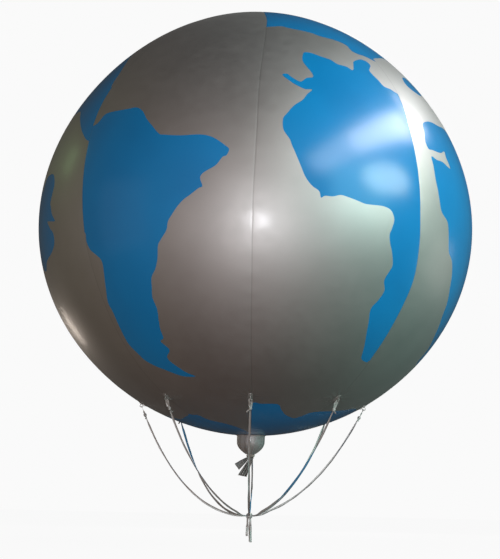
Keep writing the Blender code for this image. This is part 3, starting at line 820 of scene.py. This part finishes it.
def closed_curve(table):
    """A closed outline through the table's points: cubic pieces with averaged slopes."""
    table = np.asarray(table, float)
    t = (np.arange(COAST_STEPS) / COAST_STEPS)[None, :, None]
    a, b, c, d = (np.roll(table, shift, 0)[:, None] for shift in (1, 0, -1, -2))
    curve = 0.5 * (2 * b + (c - a) * t + (2 * a - 5 * b + 4 * c - d) * t ** 2
                   + (3 * b - a - 3 * c + d) * t ** 3)
    return curve.reshape(-1, 2)


def to_plan(gore, outline):
    """Azimuth to share of the gore's width at that latitude, times 45; the outline runs anticlockwise."""
    left, right_edge = (smooth_lean(gore + k, outline[:, 1]) for k in (0, 1))
    x, y = (outline[:, 0] - left) / (right_edge - left) * 45, outline[:, 1]
    clockwise = np.sum(x * np.roll(y, -1) - np.roll(x, -1) * y) < 0
    return np.stack([x, y], -1)[::-1 if clockwise else 1]


def cut_gore(gore):
    """(plan points, land triangles, sea triangles) of one gore."""
    x, y = np.meshgrid(ACROSS, ALONG)
    points = [np.stack([x.ravel(), y.ravel()], -1)]
    corners = np.array([(0, FIRST_LATITUDE), (45, FIRST_LATITUDE), (45, LAST_LATITUDE),
                        (0, LAST_LATITUDE)])
    outlines = [corners] + [to_plan(gore, closed_curve(table)) for table in LAND[gore]]
    faces, start = [], len(points[0])
    for outline in outlines:
        faces.append(list(range(start, start + len(outline))))
        start += len(outline)
        points.append(outline)
    plan = [tuple(pair) for pair in np.concatenate(points).tolist()]
    made = delaunay_2d_cdt(plan, [], faces, 0, 1e-5)
    inside = np.array([[0 in ids, any(n > 0 for n in ids)] for ids in made[5]])
    triangles = np.array(made[2])[inside[:, 0]]
    land = inside[inside[:, 0], 1]
    return np.array([tuple(v) for v in made[0]]), triangles[land], triangles[~land]


trial = cut_gore(0)
print("gore 0:", len(trial[1]), "land and", len(trial[2]), "sea triangles")

# %% [markdown]
# ## Film materials
# The skin is PVC film, calendered between steel rolls: a silver pearl pigment in clear
# plastic. Pearl flakes lie flat, so the film reflects partly like metal under a clear
# gloss. The eye sees soft wide highlights with a sharper one inside. The blue is a
# screen print on the same film, denser and a touch glossier. Real film has a faint
# orange peel, slow waves of a hand's width and scuffs. The colour is also made darker
# in a thin line along each weld.

# %% Film materials
def film_material(name, low, high, seam, metallic, roughness, coat, gloss,
                  coat_roughness):
    """Calendered PVC: IOR 1.53, pearl as part metal, clear gloss as coat, patterns in real millimetres."""
    material, tree, shader = new_material(name)
    spot = add_node(tree, "ShaderNodeTexCoord").outputs["Object"]

    def noise(millimetres, detail=2.0):
        return add_node(tree, "ShaderNodeTexNoise", {
            "Vector": spot, "Scale": 1000 / millimetres, "Detail": detail}).outputs[0]

    cloud, scuff, peel, wave = noise(420), noise(55, 4.0), noise(3.2), noise(160)
    tone = add_node(tree, "ShaderNodeMapRange", {0: cloud, 1: 0.35, 2: 0.65})
    colour = add_node(tree, "ShaderNodeMix", {
        0: tone.outputs[0], 6: linear(low), 7: linear(high)}, data_type="RGBA")
    # a darker colour in a line 3 mm to each side of the seam, fading out
    gap = add_node(tree, "ShaderNodeAttribute", attribute_name="seam_gap")
    weld = add_node(tree, "ShaderNodeMapRange", {
        0: gap.outputs["Fac"], 1: 0.0008, 2: 0.0042, 3: 0.48, 4: 0.0})
    welded = add_node(tree, "ShaderNodeMix", {
        0: weld.outputs[0], 6: colour.outputs[2], 7: linear(seam)}, data_type="RGBA")
    rough = add_node(tree, "ShaderNodeMapRange", {
        0: scuff, 1: 0.3, 2: 0.75, 3: roughness - 0.015, 4: roughness + 0.03})
    height = add_node(tree, "ShaderNodeMath", {0: wave, 1: 1.3, 2: peel},
                      operation="MULTIPLY_ADD")
    bump = add_node(tree, "ShaderNodeBump", {
        "Height": height.outputs[0], "Strength": 0.15, "Distance": 0.00005})
    tree.links.new(welded.outputs[2], shader.inputs["Base Color"])
    tree.links.new(rough.outputs[0], shader.inputs["Roughness"])
    tree.links.new(bump.outputs[0], shader.inputs["Normal"])
    shader.inputs["Metallic"].default_value = metallic
    shader.inputs["IOR"].default_value = 1.53
    shader.inputs["Coat Weight"].default_value = coat
    shader.inputs["Specular IOR Level"].default_value = gloss
    shader.inputs["Coat Roughness"].default_value = coat_roughness
    return material


SEA_FILM = film_material("calendered_pvc_silver_pearl", "#b4b3b0", "#bcbbb8", "#9a9996",
                         1.0, 0.54, 0.45, 0.5, 0.24)
LAND_FILM = film_material("screen_printed_pvc_blue", "#007cba", "#0083c2", "#046da1",
                          0.05, 0.50, 1.0, 0.05, 0.22)
print(SEA_FILM.name, LAND_FILM.name)

# %% [markdown]
# ## The gores
# Each plan is bent onto the globe in one step, and each point gets the exact normal of
# the curved film. With normals worked out from the formula, light runs smoothly across
# coast and seam although land and sea are separate pieces.

# %% Gores
def gore_piece(name, gore, plan, triangles, material):
    """One piece of film from its share of a gore's triangles."""
    used, faces = np.unique(triangles, return_inverse=True)
    faces = faces.reshape(-1, 3)
    share, latitude = plan[used, 0] / 45, plan[used, 1]
    left, right_edge = (smooth_lean(gore + k, latitude) for k in (0, 1))
    azimuth = left + (right_edge - left) * share
    mesh = bpy.data.meshes.new(name)
    mesh.from_pydata(film(azimuth, latitude).tolist(), [], faces.tolist())
    layer = mesh.uv_layers.new(name="film")
    metres = np.stack([np.radians(azimuth) * RADIUS, np.radians(latitude) * RADIUS], -1)
    layer.data.foreach_set("uv", metres[faces.ravel()].ravel())
    gap = mesh.attributes.new("seam_gap", "FLOAT", "POINT")
    gap.data.foreach_set("value", seam_gap(azimuth, latitude)[0].astype(np.float32))
    mesh.shade_smooth()
    mesh.normals_split_custom_set_from_vertices(film_normals(azimuth, latitude).tolist())
    return add_piece(name, mesh, material, [f"envelope_gore_{gore % GORES + 1}"])


total = 0
for gore in LAND:
    plan, land, sea = cut_gore(gore)
    number = gore % GORES + 1
    gore_piece(f"sea_film_{number}", gore, plan, sea, SEA_FILM)
    gore_piece(f"land_film_{number}", gore, plan, land, LAND_FILM)
    total += len(land) + len(sea)
print("film triangles:", total)

# %% [markdown]
# ## Crown patch
# At the top the eight gore tips are hidden under a round patch of the same film, welded
# along its rim. It closes the pole: a disc of rings that follow the curve, a little
# proud of the film, with two shallow weld grooves near the edge.

# %% Crown patch
PATCH_RADIUS = 0.110
PATCH_LIFT = 0.0018


def plain_material(name, low, high, millimetres, roughness, metallic, coat, depth):
    """Film or cord in one colour: cloudy tone, uneven gloss and fine relief at a real pattern size."""
    material, tree, shader = new_material(name)
    spot = add_node(tree, "ShaderNodeTexCoord").outputs["Object"]
    cloud = add_node(tree, "ShaderNodeTexNoise", {"Vector": spot, "Scale": 1000 / 30,
                                                  "Detail": 3.0}).outputs[0]
    fine = add_node(tree, "ShaderNodeTexNoise", {"Vector": spot, "Scale": 1000 / millimetres,
                                                 "Detail": 2.0}).outputs[0]
    colour = add_node(tree, "ShaderNodeMix", {0: cloud, 6: linear(low), 7: linear(high)},
                      data_type="RGBA")
    rough = add_node(tree, "ShaderNodeMapRange", {0: fine, 3: roughness - 0.06,
                                                  4: roughness + 0.08})
    bump = add_node(tree, "ShaderNodeBump", {"Height": fine, "Strength": 0.5,
                                             "Distance": depth})
    tree.links.new(colour.outputs[2], shader.inputs["Base Color"])
    tree.links.new(rough.outputs[0], shader.inputs["Roughness"])
    tree.links.new(bump.outputs[0], shader.inputs["Normal"])
    shader.inputs["Metallic"].default_value = metallic
    shader.inputs["IOR"].default_value = 1.53
    shader.inputs["Coat Weight"].default_value = coat
    shader.inputs["Coat Roughness"].default_value = 0.15
    return material


PATCH_FILM = plain_material("welded_pvc_silver_patch", "#afaeab", "#bbbab7", 4.0, 0.50,
                            1.0, 0.3, 0.00006)
rim_latitudes = np.degrees(np.interp(
    -np.array([PATCH_RADIUS, 0.0]), -film_curve(np.radians(np.linspace(80, 90, 2001)))[:, 0],
    np.radians(np.linspace(80, 90, 2001))))
patch_share = np.concatenate([[0.0], np.linspace(0.004, 0.3, 24), np.linspace(0.33, 0.97, 20)])
patch_latitude = (rim_latitudes[0] + (90 - rim_latitudes[0]) * patch_share)[:, None]
patch_azimuth = np.linspace(0, 360, 160, endpoint=False)[None]
edge = (1 - patch_share)[:, None] * PATCH_RADIUS
from_rim = PATCH_RADIUS - edge
patch_lift = PATCH_LIFT * np.minimum(1, (from_rim / 0.0015)) ** 0.5
patch_lift = patch_lift - 0.0005 * np.exp(-((from_rim - 0.005) / 0.0012) ** 2)
patch_lift = patch_lift - 0.0005 * np.exp(-((from_rim - 0.011) / 0.0012) ** 2)


def bare_film(azimuth, latitude, lift):
    """Film points without the relief: the patch bridges the seams below it."""
    pairs = film_curve(np.radians(latitude)) * np.ones((*np.shape(azimuth + latitude), 1))
    return around(np.radians(azimuth + 0 * latitude), pairs[..., 0], pairs[..., 1] + lift)


crown = bare_film(patch_azimuth, patch_latitude, patch_lift + 0 * patch_azimuth)
top_point = np.array([0, 0, film_curve(np.pi / 2)[1] + PATCH_LIFT])
add_piece("crown_patch_film", make_mesh("crown_patch_film", [
    grid(crown, tips=(None, top_point), closed=False)]), PATCH_FILM,
    ["crown_patch"])
print("crown patch top at", top_point[2].round(4), "m")

# %% [markdown]
# ## The filling neck
# The gas goes in through a short wide sleeve at the bottom, welded round a ring. When
# the globe is full the sleeve is gathered to a bundle and tied. The gathers start as
# faint flutes on the round of the bulb and deepen into pleats at the tie. A turned
# profile, fluted by a sum of cosines that grows downwards, gives both.

# %% Neck bulb
FLANGE_RADIUS = 0.087
BULB_STRAIGHT, BULB_GATHER, BULB_TAPER = 0.041, 0.0665, 1.9
TIE_RADIUS, THROAT_RADIUS, THROAT_LENGTH = 0.027, 0.020, 0.015
TIE_SECTION = 0.0065
neck_top = film_curve(NECK_LATITUDE)[1] - GAP
gathered = neck_top - BULB_STRAIGHT - BULB_GATHER
throat_end = gathered - THROAT_LENGTH
NECK_FILM = plain_material("gathered_pvc_sleeve", "#a4a3a0", "#b9b8b4", 14.0, 0.56, 0.55,
                           0.15, 0.00006)

turn = np.linspace(0, np.pi / 2, 34)
flange_r = np.array([FLANGE_RADIUS, FLANGE_RADIUS - 0.0006, 0.0850, 0.0832, 0.0820])
flange_z = np.interp(flange_r, film_curve(low_latitudes)[:, 0], film_curve(low_latitudes)[:, 1])
flange_z = flange_z - np.array([0.0, 0.0012, 0.0016, 0.0018, 0.0026])
bulb_r = np.concatenate([flange_r, [0.0805, 0.0800, 0.0800, 0.0802],
                         TIE_RADIUS + (NECK_RADIUS - TIE_RADIUS) * np.cos(turn) ** BULB_TAPER,
                         [0.0232, THROAT_RADIUS], np.full(9, THROAT_RADIUS)])
bulb_z = np.concatenate([flange_z, neck_top - np.array([0.0045, 0.009, 0.020, 0.036]),
                         neck_top - BULB_STRAIGHT - BULB_GATHER * np.sin(turn),
                         gathered - np.array([0.0002, 0.0008]),
                         np.linspace(gathered - 0.0016, throat_end, 9)])
azimuth = np.linspace(0, 2 * np.pi, 240, endpoint=False)[None]
drawn = np.clip((neck_top - 0.006 - bulb_z) / (neck_top - 0.006 - gathered), 0, 1)[:, None]
flutes = (0.5 * np.cos(17 * azimuth + 0.8 + 0.9 * drawn)
          + 0.3 * np.cos(23 * azimuth + 2.1 - 1.3 * drawn)
          + 0.2 * np.cos(9 * azimuth + 0.3 + 2.0 * drawn))
pleats = 1 - (0.075 * drawn * (1 - 0.6 * drawn) + 0.20 * drawn ** 4) * (1 - flutes) / 2
slack = 1 + 0.012 * np.sin(3 * azimuth + 1) * drawn * (1 - drawn)
neck = around(azimuth, bulb_r[:, None] * pleats * slack, bulb_z[:, None] + 0 * azimuth)
add_piece("neck_sleeve", make_mesh("neck_sleeve", [
    grid(neck, tips=(None, [0, 0, throat_end]), closed=False)]), NECK_FILM,
    ["neck_bulb"])
print("neck from", neck_top.round(4), "to", throat_end.round(4), "m")

# %% [markdown]
# ## The tie
# A thin cord is wound four times round the gathers and knotted. Cord is twisted from two
# yarns, so its section is a rounded figure that turns as it goes. The winding is a helix
# that the section is carried along.

# %% Tie
CORD_RADIUS = 0.0017
TIE_TURNS = 3.6
TIE_CORD = plain_material("twisted_cotton_cord", "#8f8b80", "#c9c5b8", 0.9, 0.75, 0.0, 0.0,
                          0.0003)
middle_z = (gathered - 2 * GAP + throat_end) / 2
steps = np.linspace(0, 1, 230)
angle = 2 * np.pi * TIE_TURNS * steps + 0.9
helix = around(angle, THROAT_RADIUS + GAP + CORD_RADIUS + 0.0022 * (1 - np.minimum(1, steps * 12)) ** 2,
               middle_z + 0.0052 - 0.0104 * steps)
section_angle = np.linspace(0, 2 * np.pi, 14, endpoint=False)
two_yarns = CORD_RADIUS * (0.88 + 0.12 * np.cos(2 * section_angle))
profile = np.stack([two_yarns * np.cos(section_angle), two_yarns * np.sin(section_angle)], -1)
winding = sweep(helix, profile, [0, 0, 1.0], steps * 150)
tie_front = around(0.35, THROAT_RADIUS + 0.0045, middle_z)
tie_parts = [winding, twisted_bead(tie_front, 0.0036, 0.0034, 3, 1.4, 0.18, 36, 16)]
for side in (-1, 1):
    t = np.linspace(0, 1, 24)[:, None]
    loose = tie_front + t * [side * 0.010, -0.004, 0] + t ** 2 * [0, 0.004, -0.017]
    tie_parts.append(sweep(loose, profile * 0.8, [0, -1.0, 0.2], t[:, 0] * 16))
add_piece("tie_winding", make_mesh("tie_winding", tie_parts), TIE_CORD,
          ["neck_tie"])
print("tie of", TIE_TURNS, "turns")

# %% [markdown]
# ## The folded end of the sleeve
# Below the tie the rest of the sleeve hangs to one side as two fans of pleated film. A
# fan is a sheet between two edges, pushed back and forth by a zigzag that is rounded at
# its folds and grows towards the cut end. Solidify gives the thin sheet its two faces.

# %% Sleeve flaps
# corners (x, z) from the throat's end: at the throat, then at the cut end
FLAPS = {
    "left": ((-0.018, 0.0), (-0.001, 0.0), (-0.090, -0.040), (-0.064, -0.074), 0.0080, 2.5),
    "right": ((0.000, 0.0), (0.018, 0.0), (-0.070, -0.104), (-0.020, -0.113), 0.0090, 3.5),
}


def pleated_fan(corners, height, folds, seed):
    """Points = between the two edges, plus y = height * rounded zigzag(folds * across)."""
    across = np.linspace(0, 1, 81)[None, :]
    along = np.linspace(0, 1, 25)[:, None]
    start_left, start_right, end_left, end_right = (np.array(c) for c in corners)
    left = start_left + (end_left - start_left) * along
    right_edge = start_right + (end_right - start_right) * along
    flat = left[:, None] + (right_edge - left)[:, None] * across[..., None]
    zigzag = np.arcsin(0.97 * np.sin(2 * np.pi * folds * across + seed)) / 1.33
    open_out = 0.35 + 0.65 * along
    y = height * zigzag * open_out + 0.004 * np.sin(2.2 * across + 3 * along + seed) * along
    sag = 0.004 * np.sin(np.pi * along) * (0.5 - across)
    return np.stack([flat[..., 0], y, throat_end - GAP + flat[..., 1] + sag], -1)


for index, (name, (a, b, c, d, height, folds)) in enumerate(FLAPS.items()):
    fan = pleated_fan((a, b, c, d), height, folds, 0.7 + 1.3 * index)
    piece = add_piece(f"sleeve_fan_{name}", make_mesh(f"sleeve_fan_{name}", [
        grid(fan, wrap=False, closed=False)]), NECK_FILM, [f"sleeve_flap_{name}"])
    solid = piece.modifiers.new("film_thickness", "SOLIDIFY")
    solid.thickness = 0.0008
    solid.offset = 0
    print(f"sleeve_fan_{name}: {len(piece.data.polygons)} faces")

# %% [markdown]
# ## Rope tabs
# On each seam sits a tab: a patch welded flat to the skin and an upright fin with a
# punched eye. The patch is a low pillow that follows the film, with a welded rim. The
# fin is one closed ring of surface, from the eye out to its edge, over, and back.

# %% Tabs
TAB_FILM = plain_material("welded_pvc_tab", "#abaca8", "#c6c7c3", 3.0, 0.42, 0.7, 0.4,
                          0.0001)
PATCH_HALF = (0.013, 0.031)
FIN_LENGTH, FIN_TOP_RADIUS = 0.056, 0.011


def tab_patch(degrees, tab_degrees):
    """Rounded oblong: |x|^n + |y|^n = 1 with n = 4, lifted by 1.6 mm inside a welded rim."""
    turn = np.linspace(0, 2 * np.pi, 72, endpoint=False)[None]
    reach = np.array([1.0, 0.995, 0.975, 0.94, 0.88, 0.84, 0.80, 0.74, 0.6, 0.4, 0.2])[:, None]
    lift = np.array([-0.0006, 0.0006, 0.0010, 0.0011, 0.0008, 0.0008, 0.0014, 0.0017,
                     0.0018, 0.0018, 0.0018])[:, None]
    c, s = np.cos(turn), np.sin(turn)
    x = PATCH_HALF[0] * reach * np.sign(c) * np.abs(c) ** 0.5
    y = PATCH_HALF[1] * reach * np.sign(s) * np.abs(s) ** 0.5
    latitude = tab_degrees - 90 - np.degrees(y / RADIUS)
    radius = film_curve(np.radians(latitude))[..., 0]
    rings = film(degrees + np.degrees(x / radius), latitude, lift + 0 * turn)
    tip = film(np.array(float(degrees)), np.array(tab_degrees - 90.0), 0.0018)
    return grid(rings, tips=(None, tip), closed=False)


def tab_fin(degrees, tab_degrees):
    """Closed ring round the eye; outline: an arc of 11 mm over the eye, then straight to the foot."""
    place, normal, down = tab_frame(tab_degrees)
    arc = np.radians(np.linspace(-15, 195, 40))
    outline = np.stack([FIN_TOP_RADIUS * np.cos(arc), EYE_HEIGHT + FIN_TOP_RADIUS * np.sin(arc)], -1)
    foot = 0.0006
    flank = np.linspace(0, 1, 8)[1:, None]
    left_foot, right_foot = np.array([-FIN_LENGTH / 2, foot]), np.array([FIN_LENGTH / 2, foot])
    bow = np.sin(np.pi * flank) * (0, -0.0022)
    outline = np.concatenate([
        outline, outline[-1] + (left_foot - outline[-1]) * flank + bow,
        left_foot + (right_foot - left_foot) * np.linspace(0, 1, 18)[1:, None],
        (right_foot + (outline[0] - right_foot) * flank + bow)[:-1]])
    angle = np.arctan2(outline[:, 1] - EYE_HEIGHT, outline[:, 0])
    eye = np.stack([EYE_RADIUS * np.cos(angle), EYE_HEIGHT + EYE_RADIUS * np.sin(angle)], -1)
    half = FIN_THICKNESS / 2
    # share from the eye to the outline, and height off the fin's middle plane
    section = ((0.0, 0.6), (0.03, 0.95), (0.12, 1.0), (0.2, 0.8), (0.6, 0.78), (0.88, 0.8),
               (0.93, 1.0), (0.985, 0.9), (1.0, 0.5), (1.0, -0.5), (0.985, -0.9), (0.93, -1.0),
               (0.88, -0.8), (0.6, -0.78), (0.2, -0.8), (0.12, -1.0), (0.03, -0.95), (0.0, -0.6))
    sideways = np.array([np.cos(np.radians(degrees)), np.sin(np.radians(degrees)), 0])
    rings = []
    for share, side in section:
        flat = eye + (outline - eye) * share
        pairs = place + flat[:, :1] * down + flat[:, 1:] * normal
        rings.append(in_plane(degrees, pairs) + sideways * half * side)
    rings.append(rings[0])
    points, groups, closed = grid(np.array(rings))
    size = len(section) * len(outline)
    quads, places = groups[0]
    return points[:size], [(quads % size, places)], closed


for name, (degrees, tab_degrees, _, _) in ROPES.items():
    mesh = make_mesh(f"tab_{name}", [tab_patch(degrees, tab_degrees), tab_fin(degrees, tab_degrees)])
    add_piece(f"tab_{name}", mesh, TAB_FILM, [f"rope_tab_{name}"])
print("tabs:", len(ROPES))

# %% [markdown]
# ## Floor, air and light
# The studio is plain: a pale floor just below the cut ends and a pale surround. Gloss
# needs something to mirror, so the surround that the film reflects is dimmer than the
# one that the camera sees. One lamp stands by the camera, a tall window-like one is at
# the right behind, and a long soft strip runs overhead on that side.

# %% Stage
FLOOR_Z = -1.86
FLOOR_HALF = 60.0
floor_mesh = bpy.data.meshes.new("floor")
floor_mesh.from_pydata([(x * FLOOR_HALF, y * FLOOR_HALF, FLOOR_Z)
                        for x, y in ((-1, -1), (1, -1), (1, 1), (-1, 1))], [], [(0, 1, 2, 3)])
floor = bpy.data.objects.new("floor", floor_mesh)
bpy.context.scene.collection.objects.link(floor)
floor_paint, floor_tree, floor_shader = new_material("matt_floor_paint")
floor_shader.inputs["Base Color"].default_value = linear("#1e1e1e")
floor_shader.inputs["Roughness"].default_value = 1.0
floor_shader.inputs["Specular IOR Level"].default_value = 0.0
floor_shader.inputs["Emission Color"].default_value = linear("#fafafa")
floor_shader.inputs["Emission Strength"].default_value = 0.985
floor_mesh.materials.append(floor_paint)
floor.visible_glossy = False
floor.visible_diffuse = False

world = bpy.data.worlds.new("studio")
bpy.context.scene.world = world
world.use_nodes = True
sky = world.node_tree
sky.nodes.clear()
direction = add_node(sky, "ShaderNodeSeparateXYZ", {
    0: add_node(sky, "ShaderNodeTexCoord").outputs["Generated"]})
# six colours, one for each way, weighted by the square of the direction's part along it
SURROUND = (("#64978f", "#716858"), ("#3f3f3f", "#bca8a7"), ("#38383c", "#50403c"))
graded = None
for axis, (ahead, back) in enumerate(SURROUND):
    part = direction.outputs[axis]
    side = add_node(sky, "ShaderNodeMath", {0: part, 1: 0.0}, operation="GREATER_THAN")
    squared = add_node(sky, "ShaderNodeMath", {0: part, 1: part}, operation="MULTIPLY")
    colour = add_node(sky, "ShaderNodeMix", {0: side.outputs[0], 6: linear(back),
                                             7: linear(ahead)}, data_type="RGBA")
    share = add_node(sky, "ShaderNodeVectorMath", {0: colour.outputs[2],
                                                   "Scale": squared.outputs[0]},
                     operation="SCALE")
    graded = share if graded is None else add_node(sky, "ShaderNodeVectorMath", {
        0: graded.outputs[0], 1: share.outputs[0]}, operation="ADD")
seen = add_node(sky, "ShaderNodeBackground", {0: linear("#fafafa"), 1: 1.0})
lit = add_node(sky, "ShaderNodeBackground", {0: graded.outputs[0], 1: 1.0})
choice = add_node(sky, "ShaderNodeMixShader", {
    0: add_node(sky, "ShaderNodeLightPath").outputs["Is Camera Ray"],
    1: lit.outputs[0], 2: seen.outputs[0]})
add_node(sky, "ShaderNodeOutputWorld", {0: choice.outputs[0]})
bpy.context.scene.view_settings.view_transform = "Standard"

# name: place, aimed at, (width, height) in m, watts, colour
LIGHTS = {
    "camera_lamp": ((0.52, -9.4, -1.13), (0, 0, 0), (0.3, 0.3), 215, "#f9f9ff"),
    "strip_near": ((4.02, -1.24, 3.28), (0.3, -0.6, 0.1), (3.8, 0.85), 66, "#fff8fc"),
    "window": ((4.60, 2.20, 4.20), (0.9, 0, 0.5), (0.42, 1.5), 15, "#f4f4ff"),
    "strip": ((3.88, -1.85, 3.19), (0.3, -0.6, 0.1), (8.2, 1.1), 140, "#fffcff"),
    "side_glow": ((6.1, -2.6, 2.2), (0.5, -0.5, 0), (3.3, 1.7), 124, "#f0fff2"),
    "right_soft": ((6.0, -5.0, 1.5), (0, 0, 0), (4.0, 4.0), 118, "#c0fffc"),
    "right_low": ((6.1, 1.7, -0.85), (0.9, 0, -0.4), (2.6, 1.8), 14, "#fff4ee"),
    "left_soft": ((-6.5, -3.0, 0.0), (0, 0, 0), (3.5, 4.0), 9, "#e8f0ff"),
    "left_spot": ((-5.61, 2.37, 2.50), (0, 0, 0), (0.9, 0.9), 4.2, "#c8ffb4"),
    "low_left": ((-3.02, 3.32, -1.30), (-0.9, 0.3, -0.6), (0.36, 0.66), 6.0, "#ffeee0"),
    "behind": ((0.4, 8.5, 0.8), (0, 0, 0), (3.0, 3.0), 220, "#fffaf2"),
}
for name, (spot, aim, (width, height), watts, colour) in LIGHTS.items():
    lamp = bpy.data.lights.new(name, "AREA")
    lamp.shape = "ELLIPSE" if name == "side_glow" else "RECTANGLE"
    lamp.size, lamp.size_y = width, height
    lamp.energy = watts
    lamp.color = linear(colour)[:3]
    holder = bpy.data.objects.new(name, lamp)
    bpy.context.scene.collection.objects.link(holder)
    back = unit(np.subtract(spot, aim).astype(float))
    if name.startswith("strip"):
        wide = unit(np.array([4.8 - 2.95, 2.2 + 5.9, 3.8 - 2.6]))
        wide = unit(wide - back * (wide @ back))
    else:
        wide = unit(np.cross([0, 0, 1.0], back))
    tall = np.cross(back, wide)
    holder.matrix_world = Matrix(np.column_stack([wide, tall, back, spot]).tolist()).to_4x4()
    holder.visible_camera = False
    # the near strip is only mirrored: it whitens the streak without lighting the blue print
    holder.visible_diffuse = name != "strip_near"
print("lights:", len(LIGHTS))
